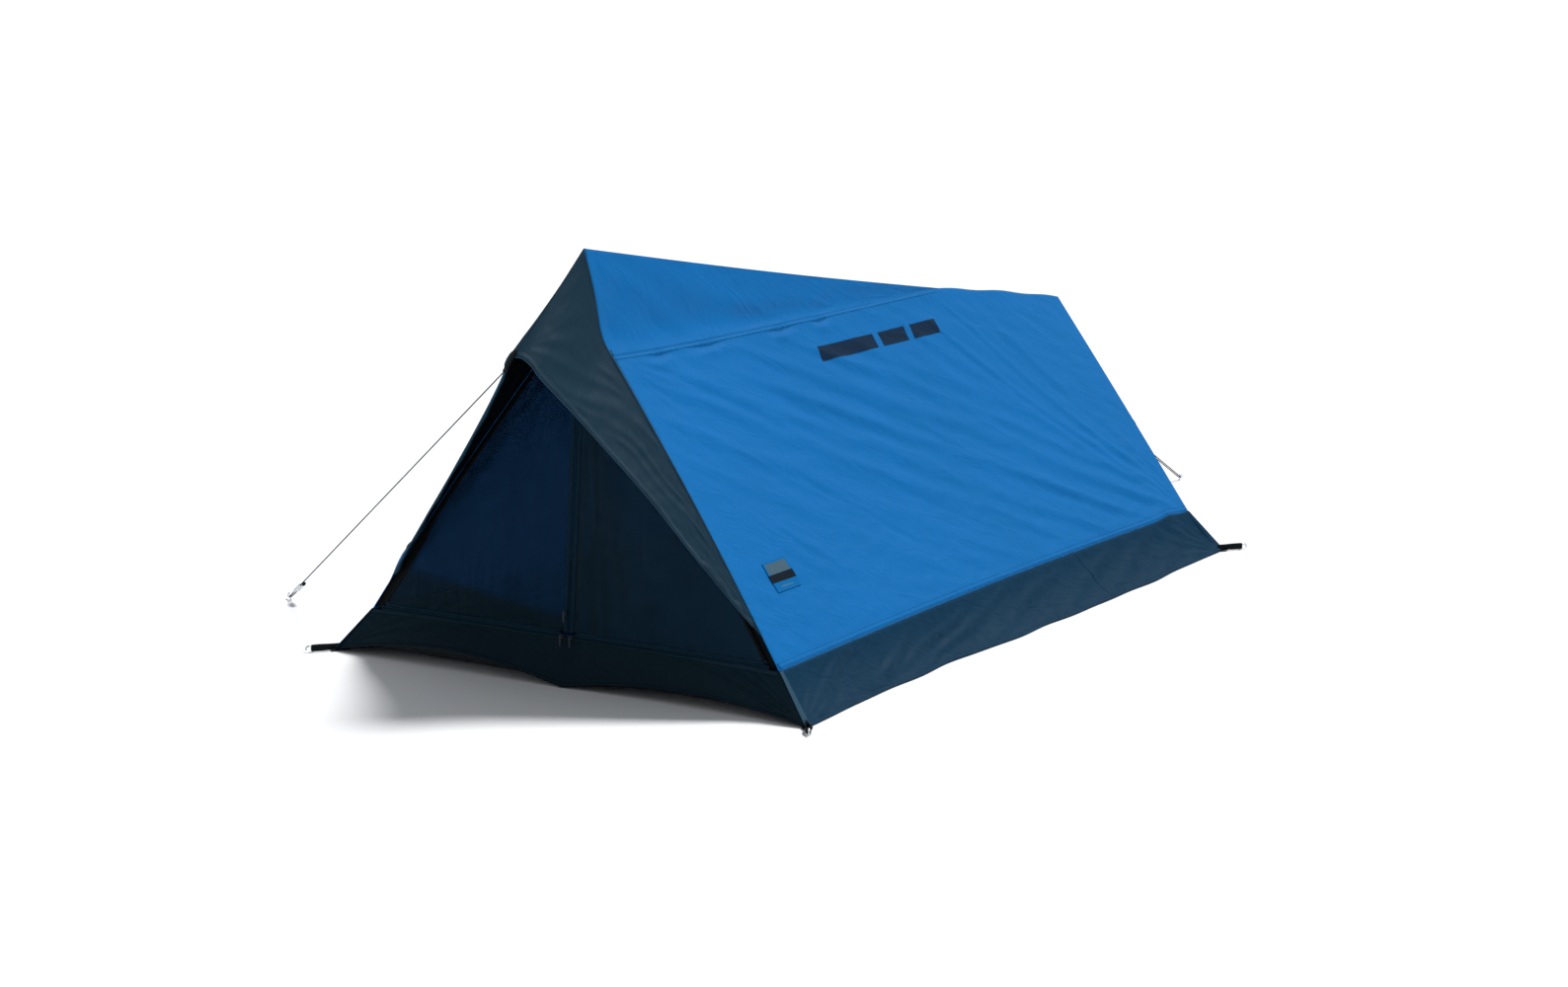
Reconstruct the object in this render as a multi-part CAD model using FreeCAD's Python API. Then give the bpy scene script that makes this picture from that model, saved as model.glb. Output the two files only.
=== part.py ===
"""Two-person A-frame ridge tent, pitched, in millimetres.

+Z is up, the door faces -Y, and the origin is the middle of the groundsheet's underside.
Every sewn panel, pole, peg, cord and fitting is a solid of its own in parts/NODE.step.
"""
import FreeCAD, Part
import math
import os

V = FreeCAD.Vector

# Driving dimensions of the pitched tent
LENGTH = 2000.0
FRONT_WIDTH = 1200.0
REAR_WIDTH = 960.0
FRONT_HEIGHT = 886.0
REAR_HEIGHT = 580.0
TUB_HEIGHT = 95.0
TUB_LEAN = 74.0
CLOTH = 1.2
SEAM_GAP = 1.5

# Corners of the right-hand panels, the left side is their mirror image
GROUND_FRONT = V(FRONT_WIDTH / 2, -LENGTH / 2, 0)
GROUND_REAR = V(REAR_WIDTH / 2, LENGTH / 2, 0)
TUB_FRONT = V(FRONT_WIDTH / 2 - TUB_LEAN, -LENGTH / 2 + 27, TUB_HEIGHT)
TUB_REAR = V(REAR_WIDTH / 2 - TUB_LEAN, LENGTH / 2 - 40, TUB_HEIGHT)
APEX_FRONT = V(0, -907, FRONT_HEIGHT)
APEX_REAR = V(0, 1027, REAR_HEIGHT)
SEAM_FRONT = V(74, -924, 687)
SEAM_REAR = V(0, 460, 661)
BEAK = V(0, -1141, 696)

# Door
DOOR_SILL = 108.0
DOOR_EDGE_GAP = 7.0
ZIP_TAPE = 12.0
ZIP_THICK = 1.6
SLIDER = (8.0, 5.0, 8.0)
PULL = (4.0, 1.2, 24.0)

# Poles
POLE_R = 8.0
POLE_WALL = 0.8
SWAGE_FIT = 0.15
SWAGE_LENGTH = 30.0
FRONT_POLE_Y = -880.0
FRONT_POLE_TOP = 848.0
REAR_POLE_FOOT = V(0, 925, 4.4)
REAR_POLE_TOP = V(0, 1002, 552)
FOOT_CAP_R = 9.6

# Corner loops and pegs
LOOP_WIDTH = 22.0
LOOP_THICK = 2.0
SLOT_WIDTH = 12.0
SLOT_LENGTH = 30.0
PEG_REACH = 48.0
SLOT_PLAY = 0.8
PEG_R = 2.0
PEG_DEPTH = 150.0
PEG_HOOK_R = 8.0
PEG_BEND_HEIGHT = 4.5

# Guy lines
CORD_R = 1.3
CORD_SIDE = 3.5
CORD_AT_PEG = 6.5
FRONT_GUY_START = V(0, -1163, 672)
FRONT_GUY_PEG = V(-1016, -674, 0)
REAR_GUY_START = V(0, 1186, 297)
REAR_GUY_PEG = V(-50, 1792, 0)
RUNNER_LENGTH = 36.0
RUNNER_BORE_R = 1.75
TAB_LENGTH = 20.0
KNOT_LENGTH = 9.0


def mirror(point):
    return V(-point.x, point.y, point.z)


def save(name, shape):
    """Write one node, which holds one solid or a few alike."""
    for solid in shape.Solids:
        if not solid.isValid() or solid.Volume <= 0:
            raise ValueError(name + " is not a sound solid")
    shape.exportStep(os.path.join("parts", name + ".step"))
    print("%-26s %d solid(s) %12.1f mm3" % (name, len(shape.Solids), shape.Volume))


def unit(vector):
    return V(vector).normalize()


def inset(points, gap):
    """Draw a polygon's corners in by gap, along the two edges that meet there."""
    drawn = []
    for i, point in enumerate(points):
        back = unit(points[i - 1] - point)
        ahead = unit(points[(i + 1) % len(points)] - point)
        spread = back.cross(ahead).Length
        drawn.append(point + (back + ahead) * (gap / spread))
    return drawn


def panel(points, triangles, away, thick=CLOTH, gap=SEAM_GAP):
    """A cloth panel: flat facets drawn in from their seams, thickened away from a point."""
    base = inset(points, gap)
    pull = [V(0, 0, 0) for _ in base]
    for a, b, c in triangles:
        normal = unit((base[b] - base[a]).cross(base[c] - base[a]))
        if normal.dot(base[a] - away) < 0:
            normal = -normal
        for i in (a, b, c):
            pull[i] += normal
    top = [p + unit(n) * thick for p, n in zip(base, pull)]
    faces = []

    def add(p, q, r):
        faces.append(Part.Face(Part.makePolygon([p, q, r, p])))

    for a, b, c in triangles:
        add(base[a], base[b], base[c])
        add(top[a], top[b], top[c])
    for i in range(len(base)):
        j = (i + 1) % len(base)
        add(base[i], base[j], top[j])
        add(base[i], top[j], top[i])
    solid = Part.Solid(Part.makeShell(faces))
    if solid.Volume < 0:
        solid.reverse()
    return solid


def fan(count, hub=0):
    """Triangles that fill a polygon from one of its corners."""
    others = [(hub + k) % count for k in range(1, count)]
    return [(hub, others[k], others[k + 1]) for k in range(count - 2)]


def both_sides(name, points, triangles, away, **options):
    """The right-hand panel and its mirror image, as two nodes."""
    save(name + "_right", panel(points, triangles, away, **options))
    left = [mirror(p) for p in points]
    save(name + "_left", panel(left, triangles, mirror(away), **options))


def door_point(x, z):
    """A point of the door's plane, which runs through the roof's front edges."""
    lean = (TUB_FRONT.y - APEX_FRONT.y) / (FRONT_HEIGHT - TUB_HEIGHT)
    return V(x, APEX_FRONT.y + (FRONT_HEIGHT - z) * lean, z)


def roof_edge_x(z):
    """Half width of the front opening at a height below the kink in the roof's edge."""
    slope = (TUB_FRONT.x - SEAM_FRONT.x) / (SEAM_FRONT.z - TUB_FRONT.z)
    return SEAM_FRONT.x + (SEAM_FRONT.z - z) * slope


def revolved(profile):
    """A turned piece about Z, from (radius, height) corners."""
    corners = [V(r, 0, z) for r, z in profile]
    face = Part.Face(Part.makePolygon(corners + corners[:1]))
    return face.revolve(V(0, 0, 0), V(0, 0, 1), 360)


def stand(shape, foot, top):
    """Turn a piece made along Z so that it stands on foot and points at top."""
    placed = shape.copy()
    turn = FreeCAD.Rotation(V(0, 0, 1), top - foot)
    placed.Placement = FreeCAD.Placement(foot, turn).multiply(placed.Placement)
    return placed


def box(size, centre):
    x, y, z = size
    return Part.makeBox(x, y, z, centre - V(x / 2, y / 2, z / 2))


# ---- sewn body -------------------------------------------------------------------------

def make_floor():
    corners = [GROUND_FRONT, GROUND_REAR, mirror(GROUND_REAR), mirror(GROUND_FRONT)]
    flat = inset(corners, 3 * SEAM_GAP)
    slab = Part.Face(Part.makePolygon(flat + flat[:1])).extrude(V(0, 0, CLOTH))
    save("groundsheet", slab)


def make_tub():
    middle = V(0, 0, 0)
    side = [GROUND_FRONT, GROUND_REAR, TUB_REAR, TUB_FRONT]
    both_sides("tub_wall", side, [(0, 1, 2), (0, 2, 3)], middle)
    for name, ground, top in (("front", GROUND_FRONT, TUB_FRONT), ("rear", GROUND_REAR, TUB_REAR)):
        wall = [mirror(ground), ground, top, mirror(top)]
        save("tub_wall_" + name, panel(wall, [(0, 1, 2), (0, 2, 3)], middle))


def make_roof():
    inside = V(0, 0, 200)
    main = [SEAM_FRONT, SEAM_REAR, APEX_REAR, TUB_REAR, TUB_FRONT]
    both_sides("roof_main", main, [(0, 4, 3), (0, 3, 1), (1, 3, 2)], inside)
    peak = [APEX_FRONT, SEAM_FRONT, SEAM_REAR]
    both_sides("roof_peak", peak, [(0, 1, 2)], V(0, -500, 600))


def hood_edge(share, end):
    """The hood's free edge, cut in towards the seam between the beak and the hood's end."""
    chord = BEAK + (end - BEAK) * share
    seam = SEAM_FRONT + (end - SEAM_FRONT) * share
    return chord + (seam - chord) * (0.2 * math.sin(math.pi * share))


def make_hood():
    hood_end = door_point(roof_edge_x(155), 155)
    edge = [hood_edge(share, hood_end) for share in (0.25, 0.5, 0.75)]
    points = [APEX_FRONT, BEAK] + edge + [hood_end, SEAM_FRONT]
    both_sides("hood", points, fan(len(points), hub=6), V(0, -900, 300), gap=1.0)


def make_rear():
    """Rear gable: cloth below, a mesh vent above, and a cloth awning propped out over the vent."""
    def gable_point(x, z):
        share = (z - TUB_HEIGHT) / (REAR_HEIGHT - TUB_HEIGHT)
        return V(x, TUB_REAR.y + (APEX_REAR.y - TUB_REAR.y) * share, z)

    def half_width(z):
        return TUB_REAR.x * (REAR_HEIGHT - z) / (REAR_HEIGHT - TUB_HEIGHT)

    vent_low = 300
    inside = V(0, 0, 200)
    wide = half_width(vent_low)
    low, cut = gable_point(wide, vent_low), gable_point(wide, vent_low)
    lower = [mirror(TUB_REAR), TUB_REAR, low, mirror(low)]
    save("rear_gable", panel(lower, [(0, 1, 2), (0, 2, 3)], inside))
    save("rear_vent_mesh", panel([mirror(cut), cut, APEX_REAR], [(0, 1, 2)], inside, thick=0.8, gap=2.5))
    side = gable_point(half_width(305), 305) + V(0, 4, 0)
    tip = V(0, REAR_GUY_START.y - 24, REAR_GUY_START.z + 9)
    top = APEX_REAR + V(0, 5, -4)
    both_sides("rear_awning", [top, side, tip], [(0, 1, 2)], V(0, 900, 200))


# ---- door and zips ---------------------------------------------------------------------

def door_strip(x0, x1, z0, z1, thick, proud=0.0):
    """An upright strip in the door's plane, its back standing proud of the plane."""
    corners = [door_point(x0, z0), door_point(x1, z0), door_point(x1, z1), door_point(x0, z1)]
    moved = [p + V(0, -proud, 0) for p in corners]
    return Part.Face(Part.makePolygon(moved + moved[:1])).extrude(V(0, -thick, 0))


def make_door():
    top = SEAM_FRONT.z - 3
    front = V(0, -3000, 400)
    header = [APEX_FRONT, mirror(SEAM_FRONT), SEAM_FRONT]
    save("door_header", panel(header, [(0, 1, 2)], front, gap=4.0))
    inner = ZIP_TAPE + 2
    low_x = roof_edge_x(DOOR_SILL) - DOOR_EDGE_GAP
    high_x = roof_edge_x(top) - DOOR_EDGE_GAP
    half = [door_point(inner, DOOR_SILL), door_point(low_x, DOOR_SILL),
            door_point(high_x, top), door_point(inner, top)]
    both_sides("door_mesh", half, [(0, 1, 2), (0, 2, 3)], front, thick=0.8, gap=0.5)
    for name, x in (("right", 1.0), ("left", -1.0 - ZIP_TAPE)):
        save("door_zip_tape_" + name, door_strip(x, x + ZIP_TAPE, DOOR_SILL, top, ZIP_THICK))
    sill = roof_edge_x(100) - 22
    save("sill_zip_tape", door_strip(-sill, sill, 97.5, 103.5, ZIP_THICK))


def slider_at(x, z):
    """A zip slider just in front of its tape: a body with a bridge that carries the pull."""
    wide, deep, tall = SLIDER
    back = door_point(x, z) + V(0, -ZIP_THICK - 0.8, 0)
    body = box(SLIDER, back + V(0, -deep / 2, 0))
    upright = [edge for edge in body.Edges if abs(edge.tangentAt(edge.FirstParameter).y) > 0.9]
    body = body.makeFillet(1.8, upright)
    bridge = box((2.4, 3.0, 3.0), back + V(0, -deep - 1.3, 1.5))
    return body.fuse(bridge).removeSplitter()


def pull_at(x, z):
    """A pull tab hanging in front of the slider's bridge, with a hole at its lower end."""
    wide, thick, long = PULL
    hinge = door_point(x, z) + V(0, -ZIP_THICK - 0.8 - SLIDER[1] - 5.0, 1.5)
    tab = box((wide, thick, long), hinge + V(0, 0, 2.0 - long / 2))
    upright = [edge for edge in tab.Edges if abs(edge.tangentAt(edge.FirstParameter).y) > 0.9]
    tab = tab.makeFillet(1.5, upright)
    hole = Part.makeCylinder(1.0, 4 * thick, hinge + V(0, -2 * thick, 5.0 - long), V(0, 1, 0))
    return tab.cut(hole)


def make_sliders():
    for name, x, z in (("centre", -5.5, 150.0), ("sill_right", 12.0, 100.5), ("sill_left", -12.0, 100.5)):
        save("zip_slider_" + name, slider_at(x, z))
        save("zip_pull_" + name, pull_at(x, z))


def make_tie_backs():
    """A toggle in an elastic loop at each edge of the opening, which hold a rolled door half."""
    pieces = []
    for side in (1, -1):
        anchor = door_point(side * (roof_edge_x(430) - 16), 430) + V(0, 12, 0)
        toggle = Part.makeCylinder(3.0, 24.0, anchor + V(0, 0, -12), V(0, 0, 1))
        toggle = toggle.makeFillet(1.2, toggle.Edges[0:1] + toggle.Edges[2:3])
        pieces.append(toggle)
    save("door_toggles", Part.makeCompound(pieces))


# ---- poles -----------------------------------------------------------------------------

def pole_section(length, swaged):
    """A thin steel tube; a swaged end has a narrower neck that plugs into the next tube."""
    bore = POLE_R - POLE_WALL
    neck = bore - SWAGE_FIT
    neck_bore = neck - POLE_WALL
    if not swaged:
        return revolved([(bore, 0), (POLE_R, 0), (POLE_R, length), (bore, length)])
    return revolved([(bore, 0), (POLE_R, 0), (POLE_R, length - 1), (neck, length),
                     (neck, length + SWAGE_LENGTH), (neck_bore, length + SWAGE_LENGTH),
                     (neck_bore, length - 2), (bore, length - 3)])


def make_pole(name, foot, top, section_names):
    """A pole of plugged sections with a cup at its foot and a rounded plug at its top."""
    cup = revolved([(0, 0), (FOOT_CAP_R, 0), (FOOT_CAP_R, 20), (POLE_R + 0.15, 20),
                    (POLE_R + 0.15, 3), (0, 3)])
    save(name + "_foot_cup", stand(cup, foot, top))
    along = unit(top - foot)
    start = foot + along * 3.2
    length = (top - start).Length / len(section_names)
    for i, section in enumerate(section_names):
        tube = pole_section(length - 0.3, swaged=i < len(section_names) - 1)
        save("%s_%s" % (name, section), stand(tube, start + along * (length * i), top + along))
    bore = POLE_R - POLE_WALL
    plug = revolved([(0, -15), (bore - 0.2, -15), (bore - 0.2, 0.2), (POLE_R, 0.2), (POLE_R, 3),
                     (6.6, 8), (4.2, 14), (2.5, 16), (0, 17)])
    save(name + "_top_plug", stand(plug, top, top + along))


def make_poles():
    front_foot = V(0, FRONT_POLE_Y, 3.0)
    front_top = V(0, FRONT_POLE_Y, FRONT_POLE_TOP)
    make_pole("front_pole", front_foot, front_top, ("lower", "middle", "upper"))
    make_pole("rear_pole", REAR_POLE_FOOT, REAR_POLE_TOP, ("lower", "upper"))
    patches = [box((70, 56, 1.0), V(0, foot.y, CLOTH + 0.6)) for foot in (front_foot, REAR_POLE_FOOT)]
    save("pole_foot_patches", Part.makeCompound(patches))


# ---- corner loops and pegs -------------------------------------------------------------

def corner_out(corner):
    """The direction in which a floor corner is pulled."""
    return unit(V(0.6 * math.copysign(1, corner.x), 0.8 * math.copysign(1, corner.y), 0))


def corner_loop(corner):
    """A flat webbing tab from the floor's corner, with a slot for the peg near its end."""
    out = corner_out(corner)
    side = V(-out.y, out.x, 0)
    end = corner + out * PEG_REACH
    start = corner + out * 4
    half = LOOP_WIDTH / 2
    strap = Part.makePolygon([start - side * half, end - side * half, end + side * half,
                              start + side * half, start - side * half])
    tab = Part.Face(strap).extrude(V(0, 0, LOOP_THICK))
    tab = tab.fuse(Part.makeCylinder(half, LOOP_THICK, end))
    slot_end = end - out * (SLOT_WIDTH / 2 - PEG_R - SLOT_PLAY)
    slot_start = slot_end - out * (SLOT_LENGTH - SLOT_WIDTH)
    half = SLOT_WIDTH / 2
    cutter = Part.Face(Part.makePolygon([slot_start - side * half, slot_end - side * half,
                                         slot_end + side * half, slot_start + side * half,
                                         slot_start - side * half])).extrude(V(0, 0, LOOP_THICK))
    for centre in (slot_start, slot_end):
        cutter = cutter.fuse(Part.makeCylinder(half, LOOP_THICK, centre))
    return tab.cut(cutter).removeSplitter()


def peg(place, out):
    """A wire peg driven upright, its hook turned away from the pull."""
    tip = 8.0
    point = Part.makeCone(0.5, PEG_R, tip, V(0, 0, -PEG_DEPTH))
    shaft = Part.makeCylinder(PEG_R, PEG_DEPTH - tip + PEG_BEND_HEIGHT, V(0, 0, tip - PEG_DEPTH))
    ring = Part.Face(Part.Wire(Part.makeCircle(PEG_R, V(0, 0, PEG_BEND_HEIGHT))))
    bend = ring.revolve(V(PEG_HOOK_R, 0, PEG_BEND_HEIGHT), V(0, 1, 0), 180)
    drop = Part.makeCylinder(PEG_R, 1.5, V(2 * PEG_HOOK_R, 0, PEG_BEND_HEIGHT - 1.5))
    whole = point.fuse([shaft, bend, drop]).removeSplitter()
    turn = FreeCAD.Rotation(V(1, 0, 0), out)
    whole.Placement = FreeCAD.Placement(place, turn)
    return whole


def make_corners():
    for end, ground in (("front", GROUND_FRONT), ("rear", GROUND_REAR)):
        for side, corner in (("right", ground), ("left", mirror(ground))):
            out = corner_out(corner)
            save("corner_loop_%s_%s" % (end, side), corner_loop(corner))
            save("peg_%s_%s" % (end, side), peg(corner + out * PEG_REACH, out))


# ---- guy lines -------------------------------------------------------------------------

def guy_frame(start, foot):
    """The cord's direction, the level direction across it, and the middle of its turn at the peg.

    The cord runs straight from start to one side of the peg, CORD_SIDE from the peg's axis.
    """
    eye = foot + V(0, 0, CORD_AT_PEG)
    across = unit(V(0, 0, 1).cross(eye - start))
    along = unit(eye + across * CORD_SIDE - start)
    return along, unit(V(0, 0, 1).cross(along)), eye


def guy_route(start, foot, runner_gap):
    """Corner points of the cord: knot, round the peg, and back up through the runner."""
    along, across, eye = guy_frame(start, foot)
    level = math.hypot(along.x, along.y)
    past_peg = (CORD_SIDE + 0.3) / level
    first = start + along * KNOT_LENGTH
    outer = start + along * ((eye - start).dot(along) + past_peg)
    inner = outer - across * (2 * CORD_SIDE)
    last = inner - along * (past_peg + runner_gap + RUNNER_LENGTH + 0.5)
    return [first, outer, inner, last]


def cord_tube(points, radius):
    """A round cord along straight runs, joined by arcs tangent to them."""
    edges = []
    here = points[0]
    length = 0.0
    for i in range(1, len(points) - 1):
        before, corner, after = points[i - 1], points[i], points[i + 1]
        back, ahead = unit(before - corner), unit(after - corner)
        half_turn = (math.pi - back.getAngle(ahead)) / 2
        reach = 0.45 * min((before - corner).Length, (after - corner).Length)
        bend = reach / math.tan(half_turn)
        enter, leave = corner + back * reach, corner + ahead * reach
        towards = unit(back + ahead)
        middle = corner + towards * (bend / math.cos(half_turn) - bend)
        edges.append(Part.LineSegment(here, enter).toShape())
        edges.append(Part.Arc(enter, middle, leave).toShape())
        length += (enter - here).Length + bend * 2 * half_turn
        print("  bend radius %.2f mm, turn %.1f degrees" % (bend, math.degrees(2 * half_turn)))
        here = leave
    edges.append(Part.LineSegment(here, points[-1]).toShape())
    length += (points[-1] - here).Length
    path = Part.Wire(edges)
    ring = Part.Wire(Part.makeCircle(radius, points[0], points[1] - points[0]))
    tube = path.makePipeShell([ring], True, False)
    expected = math.pi * radius ** 2 * length
    print("  cord %.1f mm long, volume over section times length %.4f" % (length, tube.Volume / expected))
    return tube


def knot(start, along, length):
    """A barrel-shaped overhand knot."""
    shape = revolved([(0, 0), (1.8, 0), (3.0, 0.25 * length), (3.2, 0.5 * length),
                      (3.0, 0.75 * length), (1.8, length), (0, length)])
    return stand(shape, start, start + along)


def runner(start, foot, runner_gap):
    """A flat slide adjuster with two bores along the cord and a window across its middle."""
    along, across, eye = guy_frame(start, foot)
    wide, thick = 15.0, 6.0
    body = Part.makeBox(wide, thick, RUNNER_LENGTH, V(-wide / 2, -thick / 2, 0))
    body = body.makeFillet(1.8, [e for e in body.Edges if abs(e.tangentAt(e.FirstParameter).z) > 0.9])
    for x in (-CORD_SIDE, CORD_SIDE):
        body = body.cut(Part.makeCylinder(RUNNER_BORE_R, RUNNER_LENGTH, V(x, 0, 0)))
    window = Part.makeBox(2.0, thick, 14.0, V(-1.0, -thick / 2, RUNNER_LENGTH / 2 - 7))
    body = body.cut(window)
    third = along.cross(across)
    turn = FreeCAD.Rotation(across, third, -along, "ZXY")
    beside_peg = start + along * (eye - start).dot(along)
    body.Placement = FreeCAD.Placement(beside_peg - across * CORD_SIDE - along * runner_gap, turn)
    return body


def guy_tab(start, along, flat_way):
    """The webbing tab that carries the cord, folded over and sewn into the cloth's point."""
    across = unit(flat_way - along * flat_way.dot(along))
    third = along.cross(across)
    strap = Part.makeBox(12.0, 2.0, TAB_LENGTH, V(-6.0, -1.0, 0))
    corners = [e for e in strap.Edges if abs(e.tangentAt(e.FirstParameter).y) > 0.9]
    strap = strap.makeFillet(3.0, corners)
    turn = FreeCAD.Rotation(across, third, along, "ZXY")
    strap.Placement = FreeCAD.Placement(start - along * (TAB_LENGTH + 0.2), turn)
    return strap


def make_guys():
    knots = []
    for name, start, foot, gap in (("front", FRONT_GUY_START, FRONT_GUY_PEG, 42.0),
                                   ("rear", REAR_GUY_START, REAR_GUY_PEG, 290.0)):
        along, across, eye = guy_frame(start, foot)
        route = guy_route(start, foot, gap)
        print(name, "guy route", [tuple(round(c, 1) for c in p) for p in route])
        save(name + "_guy_cord", cord_tube(route, CORD_R))
        save(name + "_runner", runner(start, foot, gap))
        save(name + "_stopper_knot", knot(route[-1] - along * 0.1, -along, 7.0))
        save(name + "_guy_tab", guy_tab(start, along, V(0, 1, 0) if name == "front" else V(1, 0, 0)))
        out = unit(V(along.x, along.y, 0))
        save("peg_%s_guy" % name, peg(foot, out))
        knots.append(knot(start, along, KNOT_LENGTH - 0.1))
    save("guy_tie_knots", Part.makeCompound(knots))


def make_label():
    """A sewn patch low on the right-hand roof panel, by the door."""
    low = TUB_FRONT + (SEAM_FRONT - TUB_FRONT) * 0.19
    up = unit(SEAM_FRONT - TUB_FRONT)
    back = unit(TUB_REAR - TUB_FRONT)
    normal = unit(back.cross(up))
    back = unit(up.cross(normal))
    if normal.x < 0:
        normal = -normal
    corner = low + back * 118 + normal * (CLOTH + 1.0)
    outline = [corner, corner + back * 96, corner + back * 96 + up * 66, corner + up * 66]
    save("side_label", Part.Face(Part.makePolygon(outline + outline[:1])).extrude(normal * 0.8))


os.makedirs("parts", exist_ok=True)
make_floor()
make_tub()
make_roof()
make_hood()
make_rear()
make_door()
make_sliders()
make_tie_backs()
make_poles()
make_corners()
make_guys()
make_label()
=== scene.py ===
"""Looks of the pitched A-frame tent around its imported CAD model, in metres.

Every cloth panel is a curved sheet built between its sewn edges, with folds that follow the pull of
the pegs, the pole tops and the guy lines. Rigid parts keep their CAD shape and get a better material.
"""

import math
import bpy
import numpy as np
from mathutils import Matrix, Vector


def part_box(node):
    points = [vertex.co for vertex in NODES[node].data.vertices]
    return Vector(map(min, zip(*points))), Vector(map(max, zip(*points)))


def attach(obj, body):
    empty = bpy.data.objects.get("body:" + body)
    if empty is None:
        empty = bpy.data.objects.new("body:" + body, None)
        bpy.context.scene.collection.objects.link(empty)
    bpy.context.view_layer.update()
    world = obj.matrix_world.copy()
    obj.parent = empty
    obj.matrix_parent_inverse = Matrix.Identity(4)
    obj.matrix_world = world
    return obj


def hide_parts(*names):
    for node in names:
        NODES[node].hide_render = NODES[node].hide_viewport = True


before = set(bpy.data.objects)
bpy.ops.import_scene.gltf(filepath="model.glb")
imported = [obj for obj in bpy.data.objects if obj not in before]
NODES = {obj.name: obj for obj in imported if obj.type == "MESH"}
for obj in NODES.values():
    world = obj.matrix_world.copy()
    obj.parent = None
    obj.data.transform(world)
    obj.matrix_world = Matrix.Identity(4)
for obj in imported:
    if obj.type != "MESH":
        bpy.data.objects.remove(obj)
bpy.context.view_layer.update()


def vec(x, y, z):
    return np.array([x, y, z], float)


# Corners of the right-hand panels, the same driving dimensions as in part.py
GROUND_FRONT = vec(0.600, -1.000, 0.0)
GROUND_REAR = vec(0.480, 1.000, 0.0)
TUB_FRONT = vec(0.518, -0.973, 0.095)
TUB_REAR = vec(0.406, 0.960, 0.095)
APEX_FRONT = vec(0.0, -0.907, 0.886)
APEX_REAR = vec(0.0, 1.027, 0.580)
KINK = vec(0.084, -0.926, 0.677)
SEAM_REAR = vec(0.0, 0.460, 0.661)
BEAK = vec(0.0, -1.141, 0.696)
HOOD_END_HEIGHT = 0.155
MIRROR = vec(-1.0, 1.0, 1.0)

UP = vec(0, 0, 1)
ALONG_X = vec(1, 0, 0)
FORWARD = vec(0, -1, 0)
DOOR_OUT = vec(0, -1, -0.08)
ROOF_OUT = vec(0.793, 0, 0.606)
AWNING_TIP = vec(0, 1.162, 0.306)
CLOTH = 0.0010

# Guy lines: the corner points of each cord's run, as in part.py, and one more near the peg
CORD_DIAMETER = 0.0026
FRONT_GUY = [(-0.0070, -1.1597, 0.6674), (-1.0085, -0.6814, 0.0124), (-1.0209, -0.6755, 0.0043),
             (-1.0179, -0.6692, 0.0043), (-0.9535, -0.7000, 0.0464)]
REAR_GUY = [(-0.0007, 1.1941, 0.2931), (-0.0525, 1.7811, 0.0116), (-0.0538, 1.7955, 0.0047),
            (-0.0468, 1.7961, 0.0047), (-0.0455, 1.7817, 0.0116), (-0.0206, 1.4988, 0.1473)]


# ---- camera and studio -----------------------------------------------------------------

def new_object(name, data):
    """An object with this data, in the scene."""
    made = bpy.data.objects.new(name, data)
    bpy.context.scene.collection.objects.link(made)
    return made


def make_camera():
    """A long lens in front and to the right of the tent, looking a little down on it."""
    data = bpy.data.cameras.new("camera")
    data.sensor_width = 36.0
    data.lens = 81.3
    data.clip_end = 300.0
    camera = new_object("camera", data)
    camera.location = (4.2737, -6.5554, 1.7078)
    camera.rotation_euler = (math.radians(90.0 - 10.59), 0.0, math.radians(33.86))
    bpy.context.scene.camera = camera


def make_studio():
    """A soft sun high behind the tent, an even pale sky and a pale floor."""
    scene = bpy.context.scene
    scene.view_settings.view_transform = "Standard"
    world = bpy.data.worlds.new("studio")
    scene.world = world
    world.use_nodes = True
    sky = world.node_tree.nodes["Background"].inputs
    sky["Color"].default_value = (0.93, 0.96, 1.0, 1.0)
    sky["Strength"].default_value = 0.36
    sun = bpy.data.lights.new("key", "SUN")
    sun.energy = 3.3
    sun.angle = math.radians(14)
    lamp = new_object("key", sun)
    lamp.location = (1.7, 4.0, 8.6)
    lamp.rotation_euler = (-lamp.location).to_track_quat("-Z", "Y").to_euler()
    mesh = bpy.data.meshes.new("studio_floor")
    reach, level = 90.0, -0.0015
    corners = [(-reach, -reach, level), (reach, -reach, level), (reach, reach, level), (-reach, reach, level)]
    mesh.from_pydata(corners, [], [(0, 1, 2, 3)])
    floor = new_object("studio_floor", mesh)
    paint = Recipe("studio_floor_paint")
    grain = paint.noise(paint.place(), 1.5, 3.0)
    tone = paint.blend(grain, (0.86, 0.87, 0.88), (0.90, 0.905, 0.91))
    mesh.materials.append(paint.finish(paint.principled(tone, 0.85)))


# ---- materials -------------------------------------------------------------------------

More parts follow.
